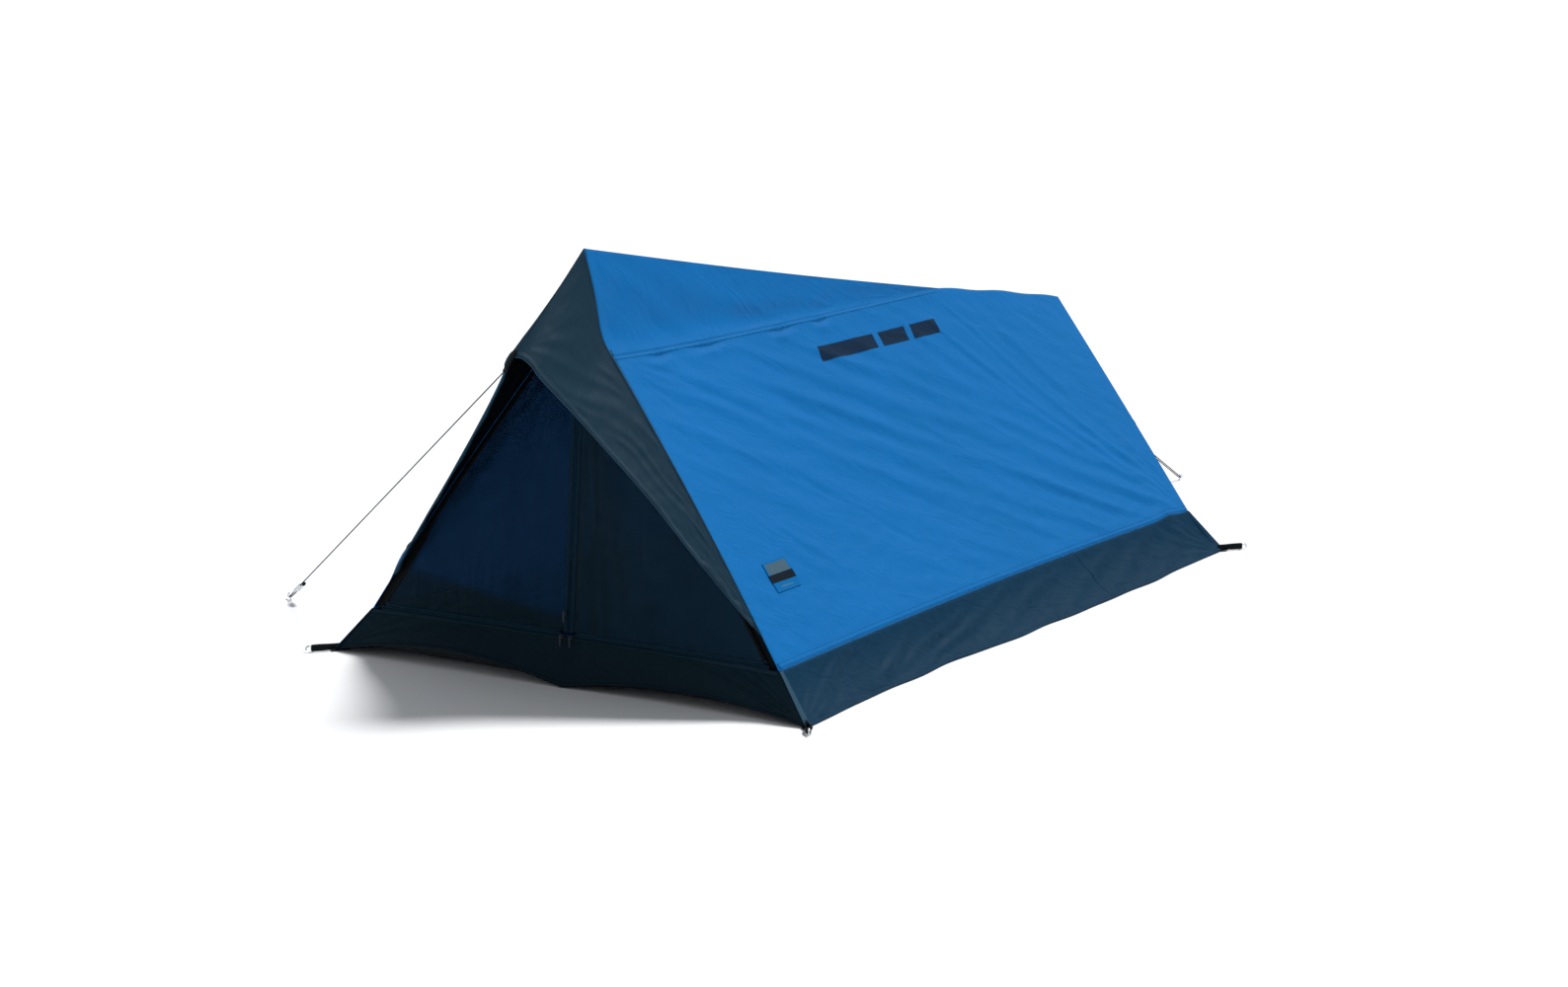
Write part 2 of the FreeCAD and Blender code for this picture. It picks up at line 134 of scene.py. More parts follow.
class Recipe:
    """A material's node tree, written top down."""

    def __init__(self, name):
        self.material = bpy.data.materials.new(name)
        self.material.use_nodes = True
        self.nodes = self.material.node_tree.nodes
        self.links = self.material.node_tree.links
        self.nodes.clear()

    def add(self, kind, inputs, out=0, **settings):
        node = self.nodes.new("ShaderNode" + kind)
        for key, value in settings.items():
            setattr(node, key, value)
        for key, value in inputs.items():
            socket = node.inputs[key]
            if isinstance(value, bpy.types.NodeSocket):
                self.links.new(value, socket)
            elif isinstance(value, tuple) and len(value) == 3 and socket.type == "RGBA":
                socket.default_value = value + (1.0,)
            else:
                socket.default_value = value
        return node.outputs[out]

    def place(self):
        return self.add("TexCoord", {}, out=3)

    def cloth_place(self):
        """Metres along and down the cloth, from the panel's own map."""
        return self.add("UVMap", {}, uv_map="cloth")

    def split(self, vector, axis):
        return self.add("SeparateXYZ", {"Vector": vector}, out=axis)

    def math(self, operation, a, b=0.0, c=0.0):
        return self.add("Math", {0: a, 1: b, 2: c}, operation=operation)

    def noise(self, vector, scale, detail=2.0, distortion=0.0, stretch=None):
        if stretch:
            vector = self.add("Mapping", {"Vector": vector, "Scale": stretch})
        inputs = {"Vector": vector, "Scale": scale, "Detail": detail, "Distortion": distortion}
        return self.add("TexNoise", inputs)

    def bands(self, vector, spacing, axis):
        """A smooth wave of the given spacing in metres along X, Y or Z of the vector."""
        inputs = {"Vector": vector, "Scale": 0.314 / spacing}
        return self.add("TexWave", inputs, out=1, bands_direction=axis)

    def range(self, value, low, high, to_low=0.0, to_high=1.0):
        inputs = {"Value": value, "From Min": low, "From Max": high, "To Min": to_low, "To Max": to_high}
        return self.add("MapRange", inputs)

    def blend(self, share, a, b):
        inputs = {0: share, 6: a, 7: b}
        return self.add("Mix", inputs, out=2, data_type="RGBA")

    def bump(self, height, distance, strength=1.0, normal=None):
        inputs = {"Height": height, "Distance": distance, "Strength": strength}
        if normal is not None:
            inputs["Normal"] = normal
        return self.add("Bump", inputs)

    def principled(self, colour, roughness, normal=None, **values):
        inputs = {"Base Color": colour, "Roughness": roughness}
        if normal is not None:
            inputs["Normal"] = normal
        inputs.update({key.replace("_", " "): value for key, value in values.items()})
        return self.add("BsdfPrincipled", inputs)

    def finish(self, shader):
        output = self.nodes.new("ShaderNodeOutputMaterial")
        self.links.new(shader, output.inputs["Surface"])
        return self.material


def shade(colour, factor):
    return tuple(min(1.0, c * factor) for c in colour)


def weave_height(recipe, cloth, thread):
    """Over-and-under threads: the warp shows where the weft is low."""
    warp = recipe.bands(cloth, thread, "X")
    weft = recipe.bands(cloth, thread, "Y")
    return recipe.math("MAXIMUM", warp, weft)


def cloth_material(name, colour, thread=0.0009, roughness=0.52, crease=0.0036, through=0.0, dust=0.0,
                   sheen=0.0, gloss_level=0.05, inner_face_shading=0.6, marks=None):
    """Coated woven cloth: threads, faint creases, uneven dye, dust low down, and light through it. The faces
    turned downwards, its inner side, have their colour scaled by inner_face_shading: painted shade below 1,
    painted light above 1.
    """
    recipe = Recipe(name)
    cloth = recipe.cloth_place()
    place = recipe.place()
    broad = recipe.noise(place, 2.6, 3.0, 0.6)
    fine = recipe.noise(place, 38.0, 4.0, 1.2)
    tone = recipe.blend(broad, shade(colour, 0.90), shade(colour, 1.10))
    slub = recipe.noise(cloth, 260.0, 2.0, stretch=(1.0, 0.08, 1.0))
    tone = recipe.blend(recipe.range(slub, 0.35, 0.75, 0.0, 0.18), tone, shade(colour, 1.35))
    if dust:
        low = recipe.range(recipe.split(place, 2), 0.0, 0.09, dust, 0.0)
        patchy = recipe.math("MULTIPLY", low, recipe.range(fine, 0.3, 0.7, 0.3, 1.2))
        tone = recipe.blend(patchy, tone, (0.16, 0.19, 0.20))
    if marks:
        tone = marks(recipe, cloth, tone)
    # The inner side's colour: painted shade where inner_face_shading is below 1, painted light where it is
    # above 1.
    facing = recipe.split(recipe.add("NewGeometry", {}, out=1), 2)
    tone = recipe.blend(recipe.range(facing, -0.06, 0.06), shade(colour, inner_face_shading), tone)
    turned = recipe.add("Mapping", {"Vector": cloth, "Rotation": (0.0, 0.0, -0.42)})
    raw = recipe.noise(turned, 17.0, 5.0, 0.9, stretch=(0.45, 1.6, 1.0))
    creases = recipe.math("ABSOLUTE", recipe.math("SUBTRACT", raw, 0.5))
    normal = recipe.bump(creases, crease)
    normal = recipe.bump(weave_height(recipe, cloth, thread), THREAD_RISE, 1.0, normal)
    gloss = recipe.range(fine, 0.3, 0.7, roughness - 0.07, roughness + 0.07)
    shader = recipe.principled(tone, gloss, normal, Sheen_Weight=sheen, Sheen_Roughness=0.4,
                               Specular_IOR_Level=gloss_level)
    if through:
        glow = recipe.add("BsdfTranslucent", {"Color": GLOW, "Normal": normal})
        shader = recipe.add("MixShader", {0: through, 1: shader, 2: glow})
    return recipe.finish(shader)


def box_mask(recipe, cloth, centre, size, soft=0.0015):
    """1 inside a rectangle of the cloth's own map, with a soft edge, and 0 outside."""
    masks = []
    for axis in (0, 1):
        offset = recipe.math("SUBTRACT", recipe.split(cloth, axis), centre[axis])
        away = recipe.math("ABSOLUTE", offset)
        masks.append(recipe.range(away, size[axis] / 2 - soft, size[axis] / 2 + soft, 1.0, 0.0))
    return recipe.math("MULTIPLY", masks[0], masks[1])


def roof_marks(recipe, cloth, tone):
    """A plain printed stripe near the ridge, broken into three dashes of different length."""
    ink = recipe.blend(recipe.noise(cloth, 90.0, 3.0), (0.001, 0.018, 0.046), (0.002, 0.034, 0.078))
    for start, length in ((0.750, 0.25), (1.025, 0.12), (1.170, 0.12)):
        mask = box_mask(recipe, cloth, (start + length / 2, 0.088), (length, 0.036))
        tone = recipe.blend(mask, tone, ink)
    return tone


def mesh_material(name, colour, cover, foot=None, fold_shade=None):
    """Fine mosquito net, partly open, painted lighter and darker along soft folds: painted light and shade.
    It may be darker at its foot, and is painted darker in streaks by the zip: painted shade in the folds
    there.
    """
    recipe = Recipe(name)
    cloth = recipe.cloth_place()
    place = recipe.place()
    folds = recipe.noise(place, 9.0, 3.0, 0.8, stretch=(6.0, 6.0, 0.7))
    net = weave_height(recipe, cloth, 0.0016)
    # Lighter and darker along the fold noise: painted light and shade of soft folds.
    tone = recipe.blend(folds, shade(colour, 0.7), shade(colour, 1.4))
    if fold_shade:
        # Streaks near the zip painted darker: painted shade in the folds there.
        streaks = recipe.noise(cloth, 70.0, 2.0, stretch=(1.0, 0.03, 1.0))
        near = recipe.range(recipe.split(cloth, 0), 0.03, 0.13, 0.8, 0.0)
        share = recipe.math("MULTIPLY", near, recipe.range(streaks, 0.42, 0.56))
        tone = recipe.blend(share, tone, fold_shade)
    if foot:
        drop = recipe.math("MULTIPLY_ADD", recipe.split(cloth, 0), 0.21, recipe.split(cloth, 1))
        tone = recipe.blend(recipe.range(drop, 0.572, 0.590, 0.0, 0.85), tone, foot)
    normal = recipe.bump(net, 0.0001)
    thread = recipe.principled(tone, 0.75, normal, Specular_IOR_Level=0.06)
    hole = recipe.add("BsdfTransparent", {"Color": (1.0, 1.0, 1.0)})
    share = recipe.range(folds, 0.3, 0.7, cover - 0.05, cover + 0.05)
    share = recipe.math("ADD", share, recipe.range(net, 0.3, 0.9, -0.02, 0.02))
    return recipe.finish(recipe.add("MixShader", {0: share, 1: hole, 2: thread}))


def webbing_material(name, colour, rib=0.0016, gloss_level=0.12):
    """Flat woven strap with cross ribs and paler worn spots. Rib tops are painted lighter and the grooves
    darker: painted light and shade.
    """
    recipe = Recipe(name)
    cloth = recipe.cloth_place()
    place = recipe.place()
    ribs = recipe.bands(cloth, rib, "X")
    cords = recipe.bands(cloth, rib * 1.6, "Y")
    height = recipe.math("MULTIPLY", ribs, cords)
    wear = recipe.noise(place, 140.0, 4.0)
    # Painted light on the rib tops and painted shade in the grooves.
    tone = recipe.blend(height, shade(colour, 0.6), shade(colour, 1.5))
    tone = recipe.blend(recipe.range(wear, 0.55, 0.8, 0.0, 0.3), tone, shade(colour, 2.4))
    normal = recipe.bump(height, 0.00035)
    return recipe.finish(recipe.principled(tone, 0.78, normal, Specular_IOR_Level=gloss_level))


def cord_material(name, colour):
    """Braided cord: crossing diagonal strands, painted lighter on their tops and darker between them: painted
    light and shade.
    """
    recipe = Recipe(name)
    place = recipe.place()
    one = recipe.add("Mapping", {"Vector": place, "Rotation": (0.7, 0.4, 0.9)})
    two = recipe.add("Mapping", {"Vector": place, "Rotation": (-0.7, 0.5, -0.8)})
    braid = recipe.math("MAXIMUM", recipe.bands(one, 0.0013, "X"), recipe.bands(two, 0.0013, "X"))
    fleck = recipe.noise(place, 900.0, 2.0)
    # Painted light on the strands' tops and painted shade between them.
    tone = recipe.blend(braid, shade(colour, 0.5), shade(colour, 1.6))
    tone = recipe.blend(recipe.range(fleck, 0.62, 0.7, 0.0, 0.5), tone, (0.05, 0.06, 0.065))
    return recipe.finish(recipe.principled(tone, 0.8, recipe.bump(braid, 0.0003), Specular_IOR_Level=0.15))


def plastic_material(name, colour, roughness=0.4, gloss_level=0.5):
    """Moulded plastic: fine grain, scuffs and slightly uneven gloss."""
    recipe = Recipe(name)
    place = recipe.place()
    grain = recipe.noise(place, 1400.0, 2.0)
    scuff = recipe.noise(place, 120.0, 6.0, 2.0, stretch=(1.0, 1.0, 0.3))
    tone = recipe.blend(recipe.range(scuff, 0.5, 0.75), colour, shade(colour, 1.35))
    normal = recipe.bump(grain, 0.00006)
    gloss = recipe.range(scuff, 0.4, 0.7, roughness, roughness + 0.2)
    return recipe.finish(recipe.principled(tone, gloss, normal, Specular_IOR_Level=gloss_level))


def metal_material(name, colour, roughness, metallic):
    """Drawn or coated metal: lengthwise lines, small dents in the gloss, dull handling marks."""
    recipe = Recipe(name)
    place = recipe.place()
    lines = recipe.noise(place, 900.0, 3.0, stretch=(1.0, 1.0, 0.05))
    stains = recipe.noise(place, 60.0, 5.0, 1.0)
    tone = recipe.blend(stains, shade(colour, 0.82), shade(colour, 1.12))
    normal = recipe.bump(lines, 0.00005)
    gloss = recipe.range(stains, 0.3, 0.7, roughness, roughness + 0.16)
    return recipe.finish(recipe.principled(tone, gloss, normal, Metallic=metallic))


def label_material(name):
    """A woven patch with plain bands: grey above, a dark bar across, and blue with a thin line below."""
    recipe = Recipe(name)
    cloth = recipe.cloth_place()
    ground = recipe.blend(recipe.noise(cloth, 320.0, 3.0), shade(BLUE, 0.56), shade(BLUE, 0.68))
    grey = box_mask(recipe, cloth, (0.048, 0.015), (0.084, 0.024), 0.0006)
    bar = box_mask(recipe, cloth, (0.048, 0.036), (0.096, 0.018), 0.0006)
    line = box_mask(recipe, cloth, (0.048, 0.056), (0.050, 0.003), 0.0004)
    tone = recipe.blend(grey, ground, (0.060, 0.120, 0.165))
    tone = recipe.blend(bar, tone, (0.006, 0.012, 0.020))
    tone = recipe.blend(line, tone, (0.06, 0.15, 0.26))
    height = weave_height(recipe, cloth, 0.0008)
    return recipe.finish(recipe.principled(tone, 0.7, recipe.bump(height, 0.0002), Specular_IOR_Level=0.05))


THREAD_RISE = 0.00006
BLUE = (0.002, 0.210, 0.580)
GLOW = (0.10, 0.36, 0.68)
SLATE = (0.009, 0.031, 0.052)
TUB = (0.003, 0.0295, 0.0635)
# A darker copy of the tub cloth for the end walls of the tub: painted shade, for the front wall that faces
# away from the sun.
TUB_PAINTED_SHADE = (0.003, 0.013, 0.022)

MATERIALS = {}


def make_materials():
    make = MATERIALS.__setitem__
    roof = {"through": 0.40, "inner_face_shading": 1.0, "gloss_level": 0.14, "sheen": 0.03}
    tub = {"thread": 0.0013, "crease": 0.0054}
    make("roof", cloth_material("roof_blue", BLUE, **roof))
    make("roof_marked", cloth_material("roof_blue_printed", BLUE, marks=roof_marks, **roof))
    # The hood cloth, also used for the awning and the header, has its inner side painted nearly black:
    # painted shade.
    make("hood", cloth_material("hood_slate", SLATE, roughness=0.6, gloss_level=0.06, inner_face_shading=0.05))
    # The hem is the hood's slate made paler, and its inner side paler still: painted light on the lit hem.
    make("hem", cloth_material("hem_slate_painted_light", shade(SLATE, 1.12), roughness=0.6, gloss_level=0.12, inner_face_shading=1.6))
    make("tub", cloth_material("tub_cloth", TUB, dust=0.05, gloss_level=0.04, **tub))
    # The end walls' cloth is the tub cloth darkened: painted shade.
    make("tub_front", cloth_material("tub_front_cloth", TUB_PAINTED_SHADE, roughness=0.5, dust=0.02, **tub))
    make("floor", cloth_material("floor_cloth", (0.016, 0.030, 0.042), thread=0.0016, roughness=0.6,
                                 crease=0.0072, sheen=0.03, gloss_level=0.22))
    make("corner", cloth_material("corner_cloth", shade(SLATE, 1.8), gloss_level=0.12))
    # The sill cloth is a lighter copy of the painted-shade tub colour, so it carries painted shade too.
    make("sill", cloth_material("sill_cloth", shade(TUB_PAINTED_SHADE, 1.8)))
    make("mesh_left", mesh_material("door_net_left", (0.003, 0.022, 0.060), 0.78, foot=(0.004, 0.014, 0.020)))
    # The right net's streaks by the zip are painted fold shade.
    make("mesh_right", mesh_material("door_net_right", (0.004, 0.019, 0.038), 0.84,
                                     fold_shade=(0.006, 0.015, 0.020)))
    make("mesh", mesh_material("vent_net", (0.005, 0.010, 0.014), 0.6))
    make("binding", webbing_material("binding_tape", (0.0015, 0.0025, 0.0035)))
    make("tape", webbing_material("zip_tape", (0.008, 0.027, 0.047), 0.0011, 0.03))
    make("coil", plastic_material("zip_coil", (0.007, 0.023, 0.041), 0.7, 0.02))
    make("webbing", webbing_material("strap_webbing", (0.005, 0.008, 0.010)))
    make("thread", webbing_material("pale_thread", (0.030, 0.055, 0.070), 0.0006))
    make("thread_blue", webbing_material("blue_thread", shade(BLUE, 0.86), 0.0006))
    make("cord", cord_material("braided_cord", (0.006, 0.008, 0.010)))
    make("runner", plastic_material("runner_plastic", (0.62, 0.67, 0.66)))
    make("black", plastic_material("black_plastic", (0.014, 0.015, 0.016)))
    make("pole", metal_material("pole_steel", (0.018, 0.021, 0.025), 0.42, 0.0))
    make("peg", metal_material("peg_wire", (0.74, 0.76, 0.76), 0.28, 0.85))
    make("zinc", metal_material("zip_zinc", (0.010, 0.018, 0.028), 0.5, 0.2))
    make("label", label_material("woven_patch"))


# ---- mesh helpers ----------------------------------------------------------------------

def make_object(name, points, faces, look, flat_map=None, slot=None, body="tent_body", replaced=(),
                smooth=True):
    """A mesh piece on a CAD body. flat_map holds each point's place on the flat cloth, in metres."""
    mesh = bpy.data.meshes.new(name)
    mesh.from_pydata(np.asarray(points, float).tolist(), [], faces)
    mesh.update()
    if flat_map is not None:
        layer = mesh.uv_layers.new(name="cloth")
        corners = np.zeros(len(mesh.loops), dtype=np.int32)
        mesh.loops.foreach_get("vertex_index", corners)
        layer.data.foreach_set("uv", np.asarray(flat_map, float)[corners].ravel())
    if smooth:
        mesh.polygons.foreach_set("use_smooth", [True] * len(mesh.polygons))
    mesh.materials.append(MATERIALS[look])
    made = new_object(name, mesh)
    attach(made, body)
    if replaced:
        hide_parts(*replaced)
    return made


def unit(vectors):
    return vectors / np.maximum(np.linalg.norm(vectors, axis=-1, keepdims=True), 1e-12)


def steps(count):
    return np.linspace(0.0, 1.0, count)


def between(a, b, share):
    return a + (b - a) * np.asarray(share)[..., None]


def arch(t):
    """0 at both ends and 1 in the middle."""
    return np.sin(math.pi * t)


def bowed(a, b, t, offset, power=1.0):
    """From a to b, moved by the offset in the middle, or nearer to b for a power above 1."""
    return between(a, b, t) + offset * arch(t ** power)[:, None]


def crossing(corner, t):
    """From the left copy of a right-hand corner straight across to it."""
    return between(corner * MIRROR, corner, t)


def still(point, count):
    """An edge that has shrunk to one point."""
    return np.repeat(point[None], count, axis=0)


def hump(value, centre, width):
    """1 at the centre, and less and less on both sides of it."""
    return np.exp(-((value - centre) / width) ** 2)


def travelled(path):
    """Metres along a path at each of its points."""
    return np.r_[0.0, np.cumsum(np.linalg.norm(np.diff(path, axis=0), axis=1))]


def ease(value, low, high):
    share = np.clip((value - low) / (high - low), 0.0, 1.0)
    return share * share * (3.0 - 2.0 * share)


def along_points(points, share):
    """Places on a polyline at shares of its length."""
    length = travelled(points)
    share = np.asarray(share) * length[-1]
    return np.stack([np.interp(share, length, points[:, k]) for k in range(3)], axis=-1)


def smooth_through(points, share):
    """A soft curve through a few points, as shares of its length."""
    points = np.asarray(points, float)
    padded = np.vstack([2 * points[0] - points[1], points, 2 * points[-1] - points[-2]])
    pieces = []
    for i in range(1, len(padded) - 2):
        t = np.linspace(0.0, 1.0, 24, endpoint=False)[:, None]
        a, b, c, d = padded[i - 1:i + 3]
        pieces.append(0.5 * (2 * b + (c - a) * t + (2 * a - 5 * b + 4 * c - d) * t ** 2
                             + (3 * b - a - 3 * c + d) * t ** 3))
    pieces.append(points[-1:])
    return along_points(np.vstack(pieces), share)


def patch(top, bottom, first, last):
    """A surface between four edges: top and bottom run along u, first and last run down v."""
    u = steps(len(top))[:, None, None]
    v = steps(len(first))[None, :, None]
    down = (1 - v) * top[:, None] + v * bottom[:, None]
    over = (1 - u) * first[None] + u * last[None]
    corners = ((1 - u) * (1 - v) * top[0] + u * (1 - v) * top[-1]
               + (1 - u) * v * bottom[0] + u * v * bottom[-1])
    return down + over - corners


def surface_normals(surface, inside):
    """Unit normals of a grid surface, all turned away from a point inside the tent."""
    du = np.gradient(surface, axis=0)
    dv = np.gradient(surface, axis=1)
    normal = np.cross(du, dv)
    size = np.linalg.norm(normal, axis=-1, keepdims=True)
    usual = unit(normal.sum(axis=(0, 1)))
    normal = np.where(size < 1e-12, usual, normal / np.maximum(size, 1e-12))
    centre = surface.mean(axis=(0, 1))
    return -normal if usual @ (centre - inside) < 0 else normal


def flat_place(surface):
    """Metres along u and down v of every grid point, from the surface's own lengths."""
    rows = np.linalg.norm(np.diff(surface, axis=0), axis=2).mean(axis=1)
    columns = np.linalg.norm(np.diff(surface, axis=1), axis=2).mean(axis=0)
    s = np.r_[0.0, np.cumsum(rows)][:, None] + np.zeros(surface.shape[:2])
    t = np.r_[0.0, np.cumsum(columns)][None, :] + np.zeros(surface.shape[:2])
    return np.stack([s, t], axis=-1)


def inside_fade(shape, share_u, share_v):
    """0 on the sewn edges and 1 away from them."""
    u = steps(shape[0])[:, None]
    v = steps(shape[1])[None, :]
    rise_u = ease(np.minimum(u, 1 - u), 0.0, share_u)
    rise_v = ease(np.minimum(v, 1 - v), 0.0, share_v)
    return rise_u * rise_v


def ripple(place, seed, length, heading=0.0, spread=math.pi, waves=14):
    """Smooth random waves about a wavelength long, whose crests run across a heading."""
    draw = np.random.default_rng(seed)
    total = np.zeros(place.shape[:2])
    for _ in range(waves):
        angle = heading + draw.uniform(-spread, spread)
        number = 2 * math.pi / (length * draw.uniform(0.75, 1.4))
        phase = draw.uniform(0, 2 * math.pi)
        total += np.cos(number * (place[..., 0] * math.cos(angle) + place[..., 1] * math.sin(angle)) + phase)
    return total / math.sqrt(waves)


def folds(place, starts, ends, heights, width, seed):
    """Long folds between pairs of places, as shares of the panel, uneven and a little crooked."""
    draw = np.random.default_rng(seed)
    size = place[-1, -1]
    total = np.zeros(place.shape[:2])
    for start, end, height in zip(np.array(starts) * size, np.array(ends) * size, heights):
        length = np.linalg.norm(end - start)
        ahead = (end - start) / length
        share = (place - start) @ ahead / length
        inner = np.clip(share, 0.0, 1.0)
        bend = 0.0
        strength = 1.0
        for wave in (1, 2, 3):
            bend = bend + draw.normal(0, 0.010 / wave) * np.sin(math.pi * wave * inner)
            swell = draw.normal(0, 0.22)
            strength = strength + swell * np.sin(math.pi * (wave + 1) * inner + draw.uniform(0, 3))
        offset = (place - start) @ np.array([-ahead[1], ahead[0]]) - bend
        wide = width * draw.uniform(0.8, 1.3) * (0.55 + 0.6 * arch(inner))
        crest = hump(offset, 0.0, wide) - 0.55 * hump(offset, 1.6 * wide, 1.3 * wide)
        total += height * strength * crest * ease(share, -0.02, 0.14) * ease(1 - share, -0.02, 0.12)
    return total


def fan(place, tip, heading, opening, count, reach, seed):
    """Folds that spread from a point where the cloth is pulled, and die away."""
    offset = place - np.array(tip)
    far = np.linalg.norm(offset, axis=-1)
    angle = np.arctan2(offset[..., 1], offset[..., 0]) - heading
    angle = (angle + math.pi) % (2 * math.pi) - math.pi
    phase = count * angle / opening + 0.15 * ripple(place, seed, 0.25)
    fade = np.exp(-(angle / opening) ** 2) * np.exp(-far / reach) * ease(far, 0.0, 0.05)
    return np.cos(2 * math.pi * phase) * fade


def grid_faces(rows, columns, flip):
    faces = []
    for i in range(rows - 1):
        for j in range(columns - 1):
            a = i * columns + j
            quad = (a, a + 1, a + columns + 1, a + columns)
            faces.append(quad[::-1] if flip else quad)
    return faces


def ring_faces(count, around):
    """Faces of a closed tube of rings, with a cap at each end."""
    faces = []
    for i in range(count - 1):
        for j in range(around):
            a, b = i * around + j, i * around + (j + 1) % around
            faces.append((a, b, b + around, a + around))
    faces.append(tuple(range(around - 1, -1, -1)))
    faces.append(tuple(range((count - 1) * around, count * around)))
    return faces


def cloth_panel(name, surface, inside, relief, look, node, body="tent_body", thick=CLOTH):
    """One cut of cloth: the smooth surface moved by its relief, then given a thickness inwards."""
    normal = surface_normals(surface, inside)
    flat = flat_place(surface).reshape(-1, 2)
    moved = surface + normal * relief[..., None]
    rows, columns = surface.shape[:2]
    i, j = rows // 2, columns // 2
    lean = np.cross(surface[i + 1, j] - surface[i, j], surface[i, j + 1] - surface[i, j])
    faces = grid_faces(rows, columns, flip=lean @ normal[i, j] > 0)
    made = make_object(name, moved.reshape(-1, 3), faces, look, flat, body=body, replaced=[node])
    body_of_cloth = made.modifiers.new("thickness", "SOLIDIFY")
    body_of_cloth.thickness = thick
    body_of_cloth.offset = -1.0
    return moved, surface_normals(moved, inside)


# A strap's cross-section: shares of its half width across and of its half thickness up
STRAP_SECTION = ((-1, -0.5), (-1, 0.5), (-0.94, 1), (0, 1.15), (0.94, 1), (1, 0.5), (1, -0.5), (0.94, -1),
                 (-0.94, -1))


def ribbon(name, path, across, normal, width, thick, look, slot=None, body="tent_body", replaced=(),
           lift=0.0):
    """A flat strap along a path, with rounded edges. across, normal and width may change along it."""
    across = unit(np.broadcast_to(across, path.shape))
    normal = unit(np.broadcast_to(normal, path.shape))
    half, rise = np.broadcast_to(width, len(path))[:, None] / 2, thick / 2
    ring = [path + across * half * x + normal * (y * rise + lift + rise) for x, y in STRAP_SECTION]
    count, around = len(path), len(STRAP_SECTION)
    flat = np.zeros((count, around, 2))
    flat[..., 0] = travelled(path)[:, None]
    flat[..., 1] = np.array([x for x, _ in STRAP_SECTION])[None, :] * half
    return make_object(name, np.stack(ring, axis=1).reshape(-1, 3), ring_faces(count, around), look,
                       flat.reshape(-1, 2), slot, body, replaced)


def hem(name, path, across, normal, width, thick, look, back=0.0, **more):
    """A ribbon along a panel's edge, set back from it and short of its ends."""
    inner = slice(1, -1)
    ribbon(name, path[inner] - across[inner] * back, across[inner], normal[inner], width, thick, look, **more)


# The corners of a stitch or a zip tooth, as shares of its half length, half width and height
BLOCK = ((-1, -1, 0), (1, -1, 0), (1, 1, 0), (-1, 1, 0), (-0.7, -0.5, 1), (0.7, -0.5, 1), (0.7, 0.5, 1),
         (-0.7, 0.5, 1))
BLOCK_FACES = ((3, 2, 1, 0), (4, 5, 6, 7), (0, 1, 5, 4), (1, 2, 6, 5), (2, 3, 7, 6), (3, 0, 4, 7))


def row_of_blocks(path, across, normal, pitch, offset, lift, size):
    """Small rounded blocks along a path, beside it by the offset: their points and faces."""
    across = unit(np.broadcast_to(across, path.shape))
    normal = unit(np.broadcast_to(normal, path.shape))
    travel = travelled(path)
    places = np.arange(pitch, travel[-1] - pitch / 2, pitch)

    def at(values):
        return np.stack([np.interp(places, travel, values[:, k]) for k in range(3)], axis=-1)

    side, out = unit(at(across)), unit(at(normal))
    ahead = unit(np.cross(side, out))
    centre = at(path) + side * offset + out * lift
    long, wide, high = size
    points = [centre + ahead * (x * long / 2) + side * (y * wide / 2) + out * (z * high) for x, y, z in BLOCK]
    faces = [tuple(8 * k + c for c in face) for k in range(len(places)) for face in BLOCK_FACES]
    return np.stack(points, axis=1).reshape(-1, 3), faces


def joined(parts):
    """The points and faces of several meshes as one mesh."""
    faces = []
    count = 0
    for points, some in parts:
        faces += [tuple(c + count for c in face) for face in some]
        count += len(points)
    return np.vstack([points for points, _ in parts]), faces


def make_blocks(name, parts, look, **more):
    points, faces = joined(parts)
    make_object(name, points, faces, look, np.zeros((len(points), 2)), smooth=False, **more)


STITCHES = {}


def stitch(name, slot, path, across, normal, offset=0.0, lift=0.0013, look="thread"):
    """Adds a row of stitches to a group, which becomes one piece at the end."""
    pitch, size = 0.0036, (0.0023, 0.0009, 0.0006)
    row = row_of_blocks(path, across, normal, pitch, offset, lift, size)
    STITCHES.setdefault((name, slot, look), []).append(row)


def make_stitches():
    for (name, slot, look), rows in STITCHES.items():
        make_blocks(name, rows, look, slot=slot)


def tube(path, radius, sides=10):
    """Points and faces of a closed round tube along a path."""
    ahead = unit(np.gradient(path, axis=0))
    side = np.cross(ahead[0], UP)
    side = side if np.linalg.norm(side) > 1e-3 else np.cross(ahead[0], ALONG_X)
    firsts = []
    for direction in ahead:
        side = unit(side - direction * (side @ direction))
        firsts.append(side)
    first = np.array(firsts)[:, None]
    second = np.cross(ahead, np.array(firsts))[:, None]
    turn = np.linspace(0, 2 * math.pi, sides, endpoint=False)[None, :, None]
    rings = path[:, None] + radius * (np.cos(turn) * first + np.sin(turn) * second)
    return rings.reshape(-1, 3), ring_faces(len(path), sides)


# ---- guy lines -------------------------------------------------------------------------

def knot(name, centre, along, body="tent_body", replaced=()):
    """Three tight turns of cord round the run, closed by a turn that crosses them."""
    length, wrap, turns, shift = 0.009, 0.0021, 3.0, 0.0012
    along = unit(along)
    side = unit(np.cross(along, UP))
    third = np.cross(along, side)
    turn = np.linspace(0, 2 * math.pi * turns, 72)
    path = (centre + along * ((turn / turn[-1] - 0.5) * length)[:, None]
            + side * (wrap * np.cos(turn))[:, None] + third * (wrap * np.sin(turn))[:, None])
    lean = along * 0.3 * length
    over = [path[-1], path[-1] + side * shift - lean, path[0] + side * shift + lean, path[0]]
    points, faces = joined([tube(path, 0.00125), tube(smooth_through(over, steps(16)), 0.0011)])
    return make_object(name, points, faces, "cord", body=body, replaced=replaced)


